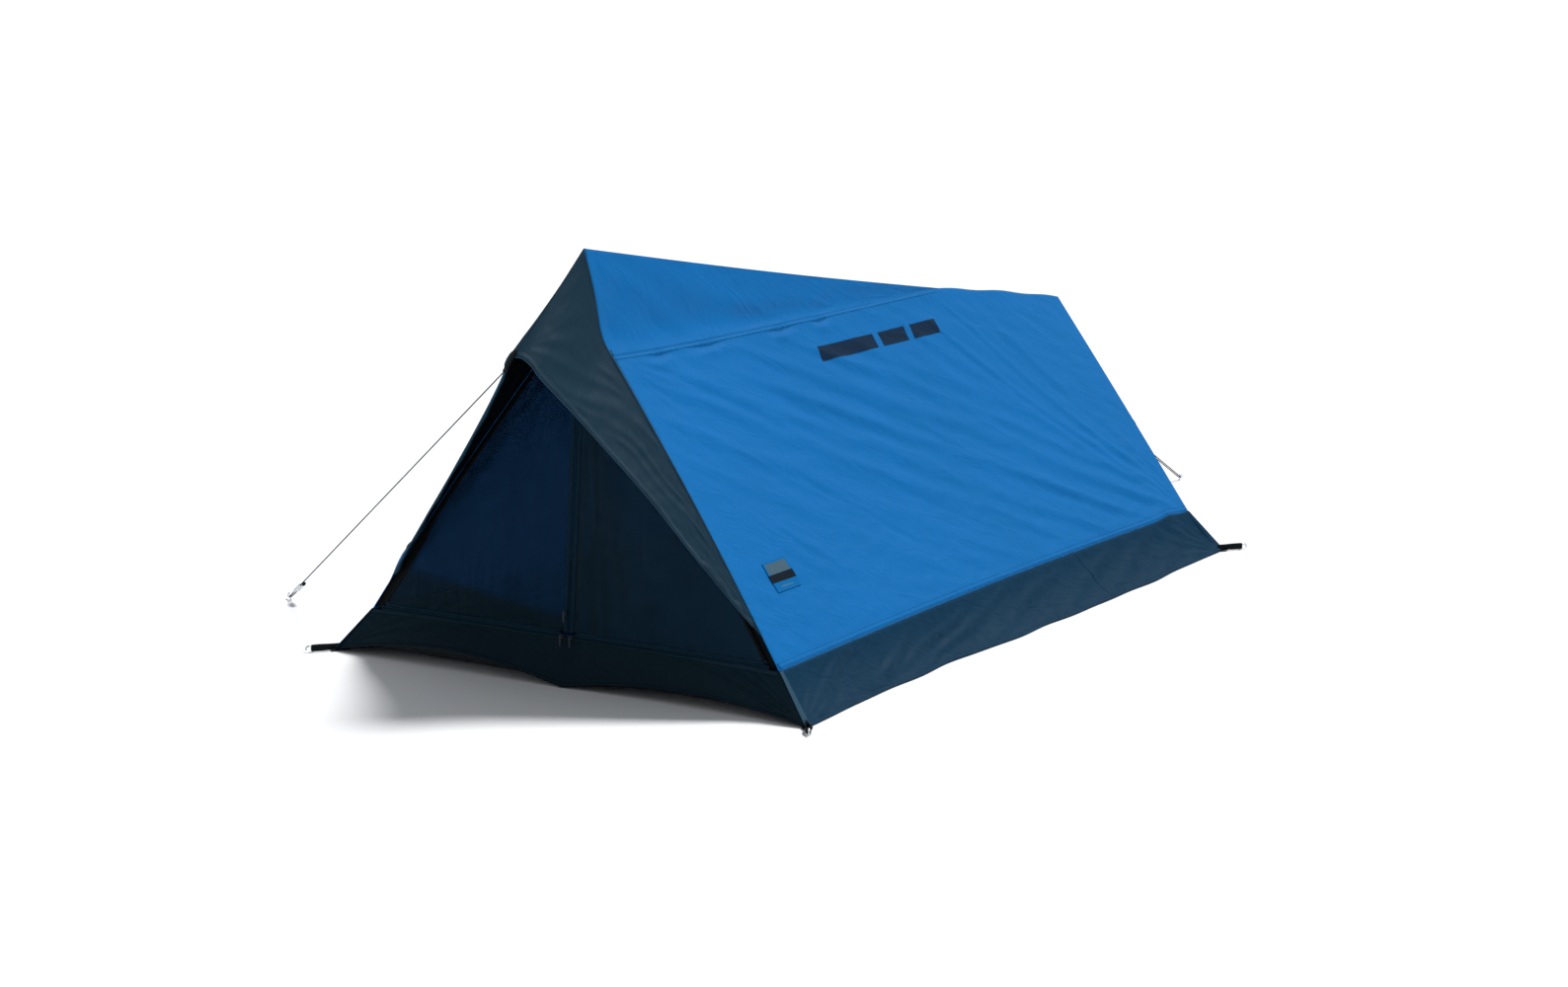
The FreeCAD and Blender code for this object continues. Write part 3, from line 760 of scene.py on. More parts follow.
def guy_line(end, route):
    """A taut cord from its tab round its peg and back to its runner, with a knot at each end."""
    curve = bpy.data.curves.new(end + "_guy_line", "CURVE")
    curve.dimensions = "3D"
    curve.bevel_depth = CORD_DIAMETER / 2
    curve.bevel_resolution = 4
    curve.resolution_u = 24
    curve.use_fill_caps = True
    spline = curve.splines.new("NURBS")
    spline.points.add(len(route) - 1)
    for point, place in zip(spline.points, route):
        point.co = place + (1.0,)
    spline.order_u = 3
    spline.use_endpoint_u = True
    curve.materials.append(MATERIALS["cord"])
    made = new_object(end + "_guy_line", curve)
    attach(made, "tent_body")
    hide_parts(end + "_guy_cord")
    first, second, last, before = (np.array(route[k]) for k in (0, 1, -1, -2))
    tie = knot(end + "_tie_knot", first + unit(first - second) * 0.0045, second - first,
               replaced=["guy_tie_knots"] if end == "front" else ())
    stop = knot(end + "_stop_knot", np.mean(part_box(end + "_stopper_knot"), axis=0), last - before,
                end + "_runner", [end + "_stopper_knot"])


# ---- sewn edges of the right half ------------------------------------------------------

def ridge_front(t):
    return bowed(APEX_FRONT, SEAM_REAR, t, -0.005 * UP)


def ridge_rear(t):
    lift = 0.004 * arch(t) + 0.0015 * np.sin(5 * math.pi * t)
    return between(SEAM_REAR, APEX_REAR, t) + UP * lift[:, None]


def level_seam(t):
    return bowed(KINK, SEAM_REAR, t, -0.007 * UP, 0.6)


def upper_front(t):
    """Roof edge from the apex to the kink, straight and then turning out."""
    return bowed(APEX_FRONT, KINK, t, -0.013 * ALONG_X, 3.0)


def lower_front(t):
    """Roof edge from the kink to the tub, a little bowed outwards."""
    return bowed(KINK, TUB_FRONT, t, 0.008 * unit(ROOF_OUT))


def rear_edge(t):
    return bowed(APEX_REAR, TUB_REAR, t, vec(0.001, 0.002, 0))


def tub_top(t):
    """Roof and tub meet here: drawn in a little in the middle, and lifted just before the rear corner."""
    lift = 0.002 * arch(t) + 0.006 * hump(t, 0.95, 0.022) * (1 - t) / 0.05
    return between(TUB_FRONT, TUB_REAR, t) + np.stack([-0.017 * arch(t), 0 * t, lift], axis=-1)


def ground_side(t):
    """Drawn in behind the front peg, and nearly straight further back."""
    inwards = -0.018 * (1 - ease(t, 0.3, 0.5)) + 0.008 * hump(t, 0.75, 0.13)
    inwards += 0.0025 * np.sin(2 * math.pi * 5.3 * t) + 0.0015 * np.sin(2 * math.pi * 9.1 * t)
    off_the_pegs = 1.0 - np.abs(2 * t - 1) ** 4.0
    return between(GROUND_FRONT, GROUND_REAR, t) + ALONG_X * (inwards * off_the_pegs)[:, None]


def ground_front(t):
    """From the left peg to the right one: touches the ground in the middle, lifts on each side."""
    wave = np.abs(np.sin(2 * math.pi * t))[:, None] ** 0.9
    rise = np.where((t < 0.5)[:, None], (0, -0.010, 0.041), (0, 0.007, 0.027))
    return crossing(GROUND_FRONT, t) + wave * rise


def ground_rear(t):
    wave = np.abs(np.sin(2 * math.pi * t))[:, None] ** 1.2
    return crossing(GROUND_REAR, t) + vec(0, -0.012, 0.008) * wave


def sill_top(t):
    return bowed(TUB_FRONT * MIRROR, TUB_FRONT, t, vec(0, 0.004, 0.006))


def rear_top(t):
    return bowed(TUB_REAR * MIRROR, TUB_REAR, t, vec(0, -0.004, 0.003))


def door_y(height):
    """The door plane's place at a height."""
    drop = (APEX_FRONT[2] - height) / (APEX_FRONT[2] - TUB_FRONT[2])
    return APEX_FRONT[1] + drop * (TUB_FRONT[1] - APEX_FRONT[1])


HOOD_SHARE = (KINK[2] - HOOD_END_HEIGHT) / (KINK[2] - TUB_FRONT[2])


def hood_end():
    return lower_front(np.array([HOOD_SHARE]))[0]


def hood_edge(t, blunt):
    """The hood's free edge: across the beak, blunter or sharper, then down to the hood's end."""
    end = hood_end()
    quarters = vec(0.25, 0.5, 0.75)
    chord = between(BEAK, end, quarters)
    cut = vec(0.14, 0.20, 0.14)[:, None]
    nose = ((0, 0, 0), (0.022, 0.002, -0.002), (0.044, 0.006, -0.018), (0.062, 0.012, -0.042))
    nose = BEAK + vec(blunt, 1, 1) * nose
    return smooth_through([*nose, *(chord + (between(KINK, end, quarters) - chord) * cut), end], t)


# ---- roof and hood ---------------------------------------------------------------------

INSIDE = vec(0.0, 0.0, 0.2)

# Folds of each panel, as shares of its length and height. Main panel: from the front down to the rear
# corner, from the ridge to the rear corner, and short ones between
MAIN_STARTS = ((0.0, 0.46), (0.0, 0.30), (0.0, 0.17), (0.01, 0.06), (0.03, 0.0), (0.11, 0.0), (0.20, 0.0),
               (0.30, 0.02), (0.42, 0.05))
MAIN_ENDS = ((0.34, 0.95), (0.46, 0.97), (0.60, 0.98), (0.71, 0.98), (0.82, 0.99), (0.91, 0.99), (0.98, 0.98),
             (0.99, 0.90), (0.99, 0.80))
MAIN_HEIGHTS = (0.0006, 0.0011, 0.0020, 0.0027, 0.0032, 0.0034, 0.0030, 0.0023, 0.0015)

REAR_STARTS = ((0.56, 0.03), (0.62, 0.02), (0.68, 0.01), (0.75, 0.02))
REAR_ENDS = ((0.97, 0.93), (0.985, 0.95), (0.985, 0.90), (0.985, 0.80))
REAR_HEIGHTS = (0.0016, 0.0024, 0.0022, 0.0014)

FINE_STARTS = ((0.05, 0.22), (0.16, 0.18), (0.26, 0.24), (0.36, 0.22), (0.22, 0.46), (0.36, 0.50),
               (0.50, 0.40), (0.10, 0.52), (0.60, 0.60), (0.46, 0.16))
FINE_ENDS = ((0.26, 0.58), (0.42, 0.60), (0.54, 0.66), (0.66, 0.68), (0.40, 0.80), (0.58, 0.86),
             (0.80, 0.84), (0.24, 0.84), (0.86, 0.96), (0.72, 0.55))
FINE_HEIGHTS = (0.0009, 0.0011, 0.0011, 0.0010, 0.0010, 0.0010, 0.0010, 0.0008, 0.0009, 0.0009)

PEAK_STARTS = ((0.02, 0.15), (0.01, 0.45), (0.10, 0.08), (0.24, 0.08))
PEAK_ENDS = ((0.30, 0.90), (0.14, 0.95), (0.50, 0.85), (0.66, 0.80))
PEAK_HEIGHTS = (0.0016, 0.0014, 0.0014, 0.0012)

HOOD_STARTS = ((0.95, 0.02), (0.93, 0.10), (0.97, 0.17), (0.70, 0.03), (0.45, 0.10), (0.80, 0.34))
HOOD_ENDS = ((0.20, 0.34), (0.10, 0.50), (0.25, 0.64), (0.35, 0.24), (0.12, 0.30), (0.30, 0.74))
HOOD_HEIGHTS = (0.0016, 0.0019, 0.0015, 0.0011, 0.0010, 0.0012)

# Each side's name, what turns the right-hand shape into it, and the first of its seeds
SIDES = (("right", vec(1, 1, 1), 0), ("left", MIRROR, 40))
MAIN_ROWS, MAIN_COLUMNS = 300, 112


def roof_top(t):
    """The main panel's upper edge: the level seam, and behind it the ridge."""
    front = np.linalg.norm(SEAM_REAR - KINK)
    share = front / (front + np.linalg.norm(APEX_REAR - SEAM_REAR))
    seam = level_seam(np.clip(t / share, 0, 1))
    ridge = ridge_rear(np.clip((t - share) / (1 - share), 0, 1))
    return np.where((t < share)[:, None], seam, ridge)


def main_relief(surface, place, seed):
    """Long folds from the kink and from the ridge to the rear corner, and small ones everywhere."""
    u = steps(surface.shape[0])[:, None]
    v = steps(surface.shape[1])[None, :]
    rear = place[-1, -1]
    relief = -0.010 * arch(v) * arch(u) ** 0.6
    relief += folds(place, MAIN_STARTS, MAIN_ENDS, MAIN_HEIGHTS, 0.017, seed + 3)
    relief += folds(place, REAR_STARTS, REAR_ENDS, REAR_HEIGHTS, 0.013, seed + 5)
    relief += folds(place, FINE_STARTS, FINE_ENDS, FINE_HEIGHTS, 0.009, seed + 7)
    relief += 0.0012 * fan(place, rear, math.pi + 0.9, 0.7, 3.2, 0.20, seed + 9)
    relief += 0.0014 * fan(place, (0.0, 0.0), 0.45, 0.60, 3.0, 0.35, seed + 11)
    relief += 0.0006 * ripple(place, seed + 13, 0.11, 2.0, 0.35)
    relief += 0.00045 * ripple(place, seed + 15, 0.05, 1.95, 0.45)
    low = ease(place[..., 1] / rear[1], 0.45, 0.8)
    relief += 0.0004 * low * ripple(place, seed + 17, 0.04, 1.4, 0.6)
    return relief * inside_fade(surface.shape, 0.03, 0.05)


def seam_pucker(place, seed):
    """Short gathers across a sewn line."""
    return ripple(place, seed, 0.022, 0.0, 0.35)


def front_puff(back, down):
    """The left panel stands out low down, just behind the seam that draws its front edge in."""
    down = down / down.max()
    low = hump(down, 0.82, 0.11) * ease(1 - down, 0.0, 0.08)
    return 0.023 * ease(back, 0.0, 0.022) * hump(back, 0.0, 0.085) * low


def seam_relief(surface, place, seed):
    """Gathers along the main panel's sewn edges, and a few tucks just below the level seam."""
    back, down = place[..., 0], place[..., 1]
    seam_length = 1.38
    near = hump(down, down.max(), 0.03) + 1.6 * hump(down, 0.0, 0.03) * (back < seam_length)
    relief = 0.0006 * near * seam_pucker(place, seed) * inside_fade(surface.shape, 0.02, 0.012)
    for start, reach in ((0.17, 0.035), (0.35, 0.055), (0.65, 0.045), (0.82, 0.030)):
        here = hump(back, start, reach)
        relief += here * (0.0035 * hump(down, 0.030, 0.009) - 0.006 * hump(down, 0.012, 0.007))
    return relief


def make_roof():
    top = roof_top(steps(MAIN_ROWS))
    low = tub_top(steps(MAIN_ROWS))
    down = steps(MAIN_COLUMNS)
    for side, turn, seed in SIDES:
        surface = patch(top, low, lower_front(down), rear_edge(down)) * turn
        place = flat_place(surface)
        relief = main_relief(surface, place, seed) + seam_relief(surface, place, seed + 21)
        if side == "left":
            relief += front_puff(place[..., 0], place[..., 1])
        look = "roof_marked" if side == "right" else "roof"
        points, normal = cloth_panel("main_cloth_" + side, surface, INSIDE, relief, look, "roof_main_" + side)
        hem_roof(side, points, normal)
        peak(side, turn, seed)
        hood(side, turn, seed)
        if side == "right":
            side_patch(points, normal)


def hem_roof(side, points, normal):
    """The roof's lower hem, lapped over the tub, and the narrow level seam, with their stitches."""
    thread = ("roof_stitches_" + side, "roof_cloth")
    path, out = points[:, -2], normal[:, -2]
    across = unit(path - points[:, -6])
    hem("roof_hem_" + side, path, across, out, 0.013, 0.0012, "roof", back=0.004)
    for offset in (-0.009, -0.0005):
        stitch(*thread, path, across, out, offset, look="thread_blue")
    seam_rows = int(MAIN_ROWS * 0.70)
    path, out = points[:seam_rows, 1], normal[:seam_rows, 1]
    across = unit(points[:seam_rows, 6] - path)
    ribbon("level_seam_" + side, path[1:], across[1:], out[1:], 0.0024, 0.0003, "thread_blue", "roof_cloth")
    stitch(*thread, path, across, out, 0.0026, lift=0.0, look="thread_blue")


def peak(side, turn, seed):
    """The small triangular panel between the ridge and the level seam."""
    along, down = steps(200), steps(40)
    rear = still(SEAM_REAR, len(down))
    surface = patch(ridge_front(along), level_seam(along), upper_front(down), rear) * turn
    place = flat_place(surface)
    low = place[..., 1]
    relief = -0.003 * arch(down)[None, :] * (1 - along[:, None])
    relief += folds(place, PEAK_STARTS, PEAK_ENDS, PEAK_HEIGHTS, 0.014, seed + 23)
    relief += 0.0007 * ripple(place, seed + 25, 0.09, 1.2, 0.5)
    relief += 0.0009 * hump(low, low.max(), 0.02) * seam_pucker(place, seed + 27)
    relief *= inside_fade(surface.shape, 0.03, 0.08)
    cloth_panel("peak_cloth_" + side, surface, INSIDE, relief, "roof", "roof_peak_" + side)


def hood_surface(side, turn):
    """The hood's smooth shape: it narrows from the beak to a point low on the roof's front edge."""
    over, down = steps(70), steps(150)
    kink_share = 0.28
    ridge = bowed(APEX_FRONT, BEAK, over, vec(0, 0.001, -0.002))
    upper = upper_front(np.clip(down / kink_share, 0, 1))
    lower = lower_front(np.clip((down - kink_share) / (1 - kink_share), 0, 1) * HOOD_SHARE)
    edge = np.where((down < kink_share)[:, None], upper, lower)
    free = hood_edge(down, 1.0 if side == "right" else 0.55)
    return patch(ridge, still(hood_end(), len(over)), edge, free) * turn


def hood(side, turn, seed):
    """The slate hood, with a hem that narrows at its low end, and stitches along both long edges."""
    surface = hood_surface(side, turn)
    place = flat_place(surface)
    relief = 0.0005 * fan(place, (place[-1, 0, 0], 0.0), math.pi - 0.9, 0.6, 2.6, 0.30, seed + 31)
    relief += folds(place, HOOD_STARTS, HOOD_ENDS, HOOD_HEIGHTS, 0.008, seed + 29)
    relief += 0.0007 * ripple(place, seed + 33, 0.12, 0.5, 0.5)
    relief += 0.0003 * ripple(place, seed + 35, 0.04, 0.6, 0.6)
    relief *= inside_fade(surface.shape, 0.06, 0.04)
    # The hood cloth's inner side is painted nearly black: painted shade.
    points, normal = cloth_panel("hood_cloth_" + side, surface, vec(0, -0.9, 0.3), relief, "hood",
                                 "hood_" + side)
    path, out = points[-1, 1:-6], normal[-2, 1:-6]
    across = unit(points[-2, 1:-6] - points[-4, 1:-6])
    width = 0.015 * np.minimum(1.0, 10.0 * (1.0 - steps(len(points[0]))[1:-6]))
    # The hem's paler slate is painted light.
    ribbon("hood_hem_" + side, path - across * (0.4 * width)[:, None], across, out, width, 0.0036, "hem",
           lift=-0.0024)
    thread = ("hood_stitches_" + side, "hood_cloth")
    stitch(*thread, path[:-10], across[:-10], out[:-10], -0.011)
    seam = points[1, 2:-14]
    stitch(*thread, seam, unit(points[4, 2:-14] - seam), normal[2, 2:-14], 0.003, lift=0.0003)


# ---- floor tub -------------------------------------------------------------------------

TUB_STARTS = ((0.02, 0.95), (0.05, 0.97), (0.14, 0.90), (0.27, 0.96), (0.40, 0.90), (0.56, 0.95),
              (0.70, 0.88), (0.84, 0.92))
TUB_ENDS = ((0.16, 0.10), (0.30, 0.08), (0.42, 0.12), (0.52, 0.10), (0.66, 0.15), (0.78, 0.10), (0.90, 0.12),
            (0.97, 0.20))
TUB_HEIGHTS = (0.0040, 0.0036, 0.0030, 0.0038, 0.0026, 0.0034, 0.0028, 0.0026)


def tub_relief(place, seed, pulls):
    """Small waves, and folds that spread from the places where the wall is pulled at the ground."""
    relief = 0.0010 * ripple(place, seed, 0.10, 0.4, 0.6) + 0.0005 * ripple(place, seed + 1, 0.04, 0.6, 0.7)
    for along, heading in pulls:
        relief += 0.0035 * fan(place, (along, place[-1, -1, 1]), heading, 0.6, 2.2, 0.16, seed + 2)
    return relief


def tub_side(side, turn, seed):
    """A long wall of the tub, with its ground seam and the joint where two lengths of cloth meet."""
    rows, down = steps(260), steps(26)
    front, rear = between(TUB_FRONT, GROUND_FRONT, down), between(TUB_REAR, GROUND_REAR, down)
    surface = patch(tub_top(rows), ground_side(rows), front, rear) * turn
    place = flat_place(surface)
    pulls = ((0, -0.45), (place[-1, -1, 0], math.pi + 0.45))
    relief = -0.006 * arch(down)[None, :] + tub_relief(place, seed + 50, pulls)
    relief += folds(place, TUB_STARTS, TUB_ENDS, TUB_HEIGHTS, 0.011, seed + 54)
    relief *= inside_fade(surface.shape, 0.015, 0.16)
    points, normal = cloth_panel("tub_cloth_" + side, surface, INSIDE * 0.2, relief, "tub",
                                 "tub_wall_" + side)
    edge_tape("tub_%s_edge" % side, points, normal, "tub")
    joint = round(0.69 * len(rows))
    across = unit(points[joint + 1, 1:-1] - points[joint - 1, 1:-1])
    ribbon("tub_joint_" + side, points[joint, 1:-1], across, normal[joint, 1:-1], 0.005, 0.0007, "tub")


def tub_end(end, top, low, tub, corner, seed):
    """The front or rear wall of the tub, with its ground seam and the stitched seam along its top."""
    over, down = steps(160), steps(26)
    right = between(tub, corner, down)
    surface = patch(top(over), low(over), right * MIRROR, right)
    place = flat_place(surface)
    length = place[-1, -1, 0]
    pulls = ((0, -0.5), (length, math.pi + 0.5), (length / 2, -math.pi / 2))
    relief = tub_relief(place, seed, pulls) * inside_fade(surface.shape, 0.03, 0.14)
    # Both end walls and their ground tapes use the darker copy of the tub cloth: painted shade.
    points, normal = cloth_panel("tub_cloth_" + end, surface, INSIDE * 0.2, relief, "tub_front",
                                 "tub_wall_" + end)
    edge_tape("tub_%s_edge" % end, points, normal, "tub_front")
    path, out = points[:, 1], normal[:, 2]
    across = unit(points[:, 4] - path)
    hem("tub_%s_top_seam" % end, path, across, out, 0.010, 0.0012, "sill")
    for offset in (-0.003, 0.003):
        stitch("tub_stitches_" + end, "tub_cloth", path, across, out, offset)


def make_tub():
    for side, turn, seed in SIDES:
        tub_side(side, turn, seed)
        corner_seams(side, turn)
    tub_end("front", sill_top, ground_front, TUB_FRONT, GROUND_FRONT, 60)
    tub_end("rear", rear_top, ground_rear, TUB_REAR, GROUND_REAR, 64)


def edge_tape(name, points, normal, look):
    """The folded seam along the ground."""
    across = unit(points[:, -1] - points[:, -4])
    path = points[:, -1] - across * 0.003 + UP * 0.0006
    ribbon(name, path, across, normal[:, -2], 0.008, 0.0018, look, lift=-0.0008)


def corner_seams(side, turn):
    """A lapped seam down each corner of the tub, pale at the front."""
    ends = (("front", TUB_FRONT, GROUND_FRONT, 1.0, "corner"), ("rear", TUB_REAR, GROUND_REAR, -1.0, "tub"))
    for end, top, low, inwards, look in ends:
        across = vec(-turn[0] * 0.2, inwards, 0)
        path = between(top, low, steps(24)) * turn + across * 0.006
        out = vec(0.8, -0.15 * inwards, 0.6) * turn
        width = np.linspace(0.014, 0.024, 24)
        ribbon("tub_corner_seam_%s_%s" % (end, side), path, across, out, width, 0.0014, look, lift=0.0002)


def make_floor():
    """The groundsheet: flat inside, and up to the tub's lifted edge all round."""
    wide, long = steps(90), steps(150)
    right = ground_side(long)
    surface = patch(ground_front(wide), ground_rear(wide), right * MIRROR, right)
    place = flat_place(surface)
    fade = inside_fade(surface.shape, 0.12, 0.04)
    surface[..., 2] *= 1 - fade
    relief = (0.0010 + 0.0006 * ripple(place, 71, 0.15) + 0.0004 * ripple(place, 73, 0.06)) * fade
    relief = np.maximum(relief, 0.0) + 0.0008
    cloth_panel("floor_cloth", surface, -UP, relief, "floor", "groundsheet", thick=0.0006)


# ---- rear end --------------------------------------------------------------------------

VENT_SILL = 0.300


def make_rear():
    """The gable, the vent's net above it with a tape between them, and the awning."""
    inside = vec(0, 0.5, 0.2)
    share = (APEX_REAR[2] - VENT_SILL) / (APEX_REAR[2] - TUB_REAR[2])
    right = rear_edge(share + (1 - share) * steps(36))
    over = steps(90)
    sill = crossing(right[0], over)
    surface = patch(sill, rear_top(over), right * MIRROR, right)
    place = flat_place(surface)
    length, height = place[-1, -1]
    relief = 0.0012 * ripple(place, 81, 0.12) + 0.0022 * fan(place, (0, height), -0.6, 0.6, 2.4, 0.25, 83)
    relief += 0.0022 * fan(place, (length, height), math.pi + 0.6, 0.6, 2.4, 0.25, 85)
    relief *= inside_fade(surface.shape, 0.05, 0.08)
    points, normal = cloth_panel("gable_cloth", surface, inside, relief, "roof", "rear_gable")
    path, across, out = points[:, 1], unit(points[:, 3] - points[:, 0]), normal[:, 2]
    ribbon("vent_sill_tape", path, across, out, 0.014, 0.0014, "binding", "tub_cloth")
    stitch("gable_stitches", "roof_cloth", path, across, out, 0.004, lift=0.0015)
    right = rear_edge(share * steps(40))
    net = patch(still(APEX_REAR, 50), crossing(right[-1], steps(50)), right * MIRROR, right)
    relief = 0.0008 * ripple(flat_place(net), 87, 0.08) * inside_fade(net.shape, 0.1, 0.1)
    cloth_panel("rear_vent_net", net, inside, relief, "mesh", "rear_vent_mesh", thick=0.0004)
    make_awning(share)


def make_awning(share):
    """A small cloth awning that the rear guy line holds out over the vent."""
    inset = vec(-0.003, -0.001, -0.003)
    top = APEX_REAR + inset * vec(0, 1, 1)
    corner = rear_edge(np.array([share]))[0] + inset
    along = steps(50)
    ridge = bowed(top, AWNING_TIP, along, vec(0, -0.006, -0.006))
    edge = rear_edge(share * along) + inset * np.minimum(1, 12 * along)[:, None]
    edge[0] = top
    free = bowed(AWNING_TIP, corner, along, vec(0, -0.012, 0.010))
    for side, turn, seed in SIDES:
        surface = patch(still(top, 50), free, ridge, edge) * turn
        place = flat_place(surface)
        relief = 0.0012 * ripple(place, seed + 91, 0.09, 0.6, 0.6) * inside_fade(surface.shape, 0.1, 0.1)
        # The awning's inner side is painted nearly black like the hood's: painted shade.
        points, normal = cloth_panel("awning_cloth_" + side, surface, vec(0, 0.9, 0.2), relief, "hood",
                                     "rear_awning_" + side)
        path, out = points[:, -1], normal[:, -2]
        across = unit(points[:, -2] - points[:, -5])
        hem("awning_hem_" + side, path, across, out, 0.012, 0.0015, "hem", back=0.005, lift=-0.0003)
        stitch("awning_stitches", "hood_cloth", path, across, out, -0.010)


# ---- door ------------------------------------------------------------------------------

DOOR_SILL = 0.108


def front_edge_x(height):
    """Half width of the opening at a height, from the roof's front edge."""
    samples = lower_front(steps(200))
    return np.interp(height, samples[::-1, 2], samples[::-1, 0])


def door_points(x, height, proud=0.0):
    """Places on the door's plane, or proud of it."""
    return np.stack([np.broadcast_to(x, height.shape), door_y(height) - proud, height], axis=-1)


def door_half(side, turn, seed):
    """One net leaf, with its half of the zip, the tape that it is sewn by and the tape along its foot."""
    body = "door_" + side
    top = KINK[2] - 0.003
    over = steps(60)
    heights = top + (DOOR_SILL - top) * steps(110)
    gap = 0.009 + 0.012 * ease(0.31 - heights, 0.0, 0.07)
    inner = door_points(0.0125, heights)
    outer = door_points(front_edge_x(heights) - gap, heights)
    head, foot = between(inner[0], outer[0], over), between(inner[-1], outer[-1], over)
    surface = patch(head, foot, inner, outer) * turn
    place = flat_place(surface)
    relief = 0.0016 * ripple(place, seed + 101, 0.11, 0.0, 0.25) + 0.0008 * ripple(place, seed + 103, 0.05)
    relief += 0.0022 * hump(over, 0.0, 0.35)[:, None] * ripple(place, seed + 105, 0.028, 0.0, 0.08)
    relief *= inside_fade(surface.shape, 0.06, 0.05)
    points, normal = cloth_panel("door_net_" + side, surface, vec(0, 0, 0.4), relief, "mesh_" + side,
                                 "door_mesh_" + side, body, 0.0004)
    path = door_points(0.007, heights) * turn
    ribbon("door_zip_side_" + side, path, ALONG_X, DOOR_OUT, 0.012, 0.0009, "tape", body=body,
           replaced=["door_zip_tape_" + side])
    path, out = points[-1], normal[-2]
    hem("door_edge_tape_" + side, path, unit(path - points[-3]), out, 0.008, 0.0010, "binding", back=0.004,
        slot="mesh", body=body)
    path, out = points[:, -1], normal[:, -2]
    hem("door_foot_tape_" + side, path, unit(path - points[:, -3]), out, 0.006, 0.0012, "tape", slot="mesh",
        body=body)
    path = door_points(0.0008, heights, 0.0014) * turn
    zip_teeth("zip_teeth_" + side, path, turn * ALONG_X, 0.0012, 0.0034, body)


def make_door():
    for side, turn, seed in SIDES:
        door_half(side, turn, seed)
        door_painted_shade_strip(side, turn)
    header()
    sill_zip()


def zip_teeth(name, path, across, offset, width, body="tent_body"):
    """Half of a coil zip: a close row of small rounded teeth."""
    row = row_of_blocks(path, across, FORWARD, 0.0021, offset, 0.0, (0.0015, width, 0.0014))
    make_blocks(name, [row], "coil", body=body)


def door_painted_shade_strip(side, turn):
    """A black strip inside the roof's front edge beside the door, where the hood shades it: painted shade.
    Then the black binding along the roof's front edge.
    """
    heights = np.linspace(KINK[2] - 0.004, TUB_FRONT[2] + 0.004, 90)
    width = np.linspace(0.050, 0.022, 90)
    path = door_points(front_edge_x(heights) - 0.001 - width * 0.63, heights, -0.005) * turn
    across = ROOF_OUT * turn
    ribbon("door_painted_shade_strip_" + side, path, across, DOOR_OUT, width, 0.0012, "binding", "hood_cloth", lift=-0.0006)
    path = (lower_front(steps(90)[1:-1]) + vec(-0.0018, 0.0055, -0.0013)) * turn
    ribbon("door_seam_" + side, path, vec(-0.05 * turn[0], 1, 0), across, 0.012, 0.0010, "binding",
           "hood_cloth", lift=-0.0010)


def header():
    """The fixed slate triangle above the door, a little inside the roof."""
    edge = upper_front(steps(30))
    low = crossing(KINK, steps(24))
    surface = patch(still(APEX_FRONT, 24), low, edge * MIRROR, edge) * vec(0.94, 1, 1) + vec(0, 0.004, 0)
    relief = 0.0008 * ripple(flat_place(surface), 111, 0.06) * inside_fade(surface.shape, 0.1, 0.1)
    cloth_panel("header_cloth", surface, vec(0, 0, 0.5), relief, "hood", "door_header")


def sill_zip():
    """The zip along the sill: its tape and two rows of teeth."""
    height = np.full(120, 0.1005)
    half = front_edge_x(0.100) - 0.022
    path = door_points(np.linspace(-half, half, 120), height)
    ribbon("sill_zip_band", path, UP, DOOR_OUT, 0.008, 0.0009, "sill", "zip_tape", replaced=["sill_zip_tape"])
    for name, rise in (("sill_teeth_low", -0.0009), ("sill_teeth_high", 0.0009)):
        zip_teeth(name, path + vec(0, -0.0014, rise), UP, 0.0, 0.0018)


# ---- small fittings --------------------------------------------------------------------

def corner_loops():
    """A strap round each corner peg, on edge, and the patch at the corner that its ends are sewn to."""
    reach, radius = 0.048, 0.0042
    legs = ((-0.012, 0.0015), (0.010, 0.002), (0.028, 0.0044))
    bend = np.linspace(-math.pi / 2, math.pi / 2, 15)
    for end, corner in (("front", GROUND_FRONT), ("rear", GROUND_REAR)):
        for side, turn, _ in SIDES:
            place = corner * turn
            out = unit(vec(0.6 * turn[0], math.copysign(0.8, corner[1]), 0))
            across = vec(-out[1], out[0], 0)
            nose = [place + out * (reach + radius * math.cos(turned)) + across * radius * math.sin(turned)
                    for turned in bend]
            start = [place + out * far - across * apart for far, apart in legs]
            finish = [place + out * far + across * apart for far, apart in reversed(legs)]
            path = smooth_through(start + nose + finish, steps(90)) + UP * 0.0075
            ahead = unit(np.gradient(path, axis=0))
            ribbon("peg_loop_%s_%s" % (end, side), path, UP, np.cross(ahead, UP), 0.013, 0.0016, "webbing",
                   replaced=["corner_loop_%s_%s" % (end, side)], lift=-0.0008)
            base = between(place - out * 0.030, place + out * 0.010, steps(12)) + UP * 0.0012
            ribbon("corner_patch_%s_%s" % (end, side), base, across, UP, 0.022, 0.0014, "webbing")


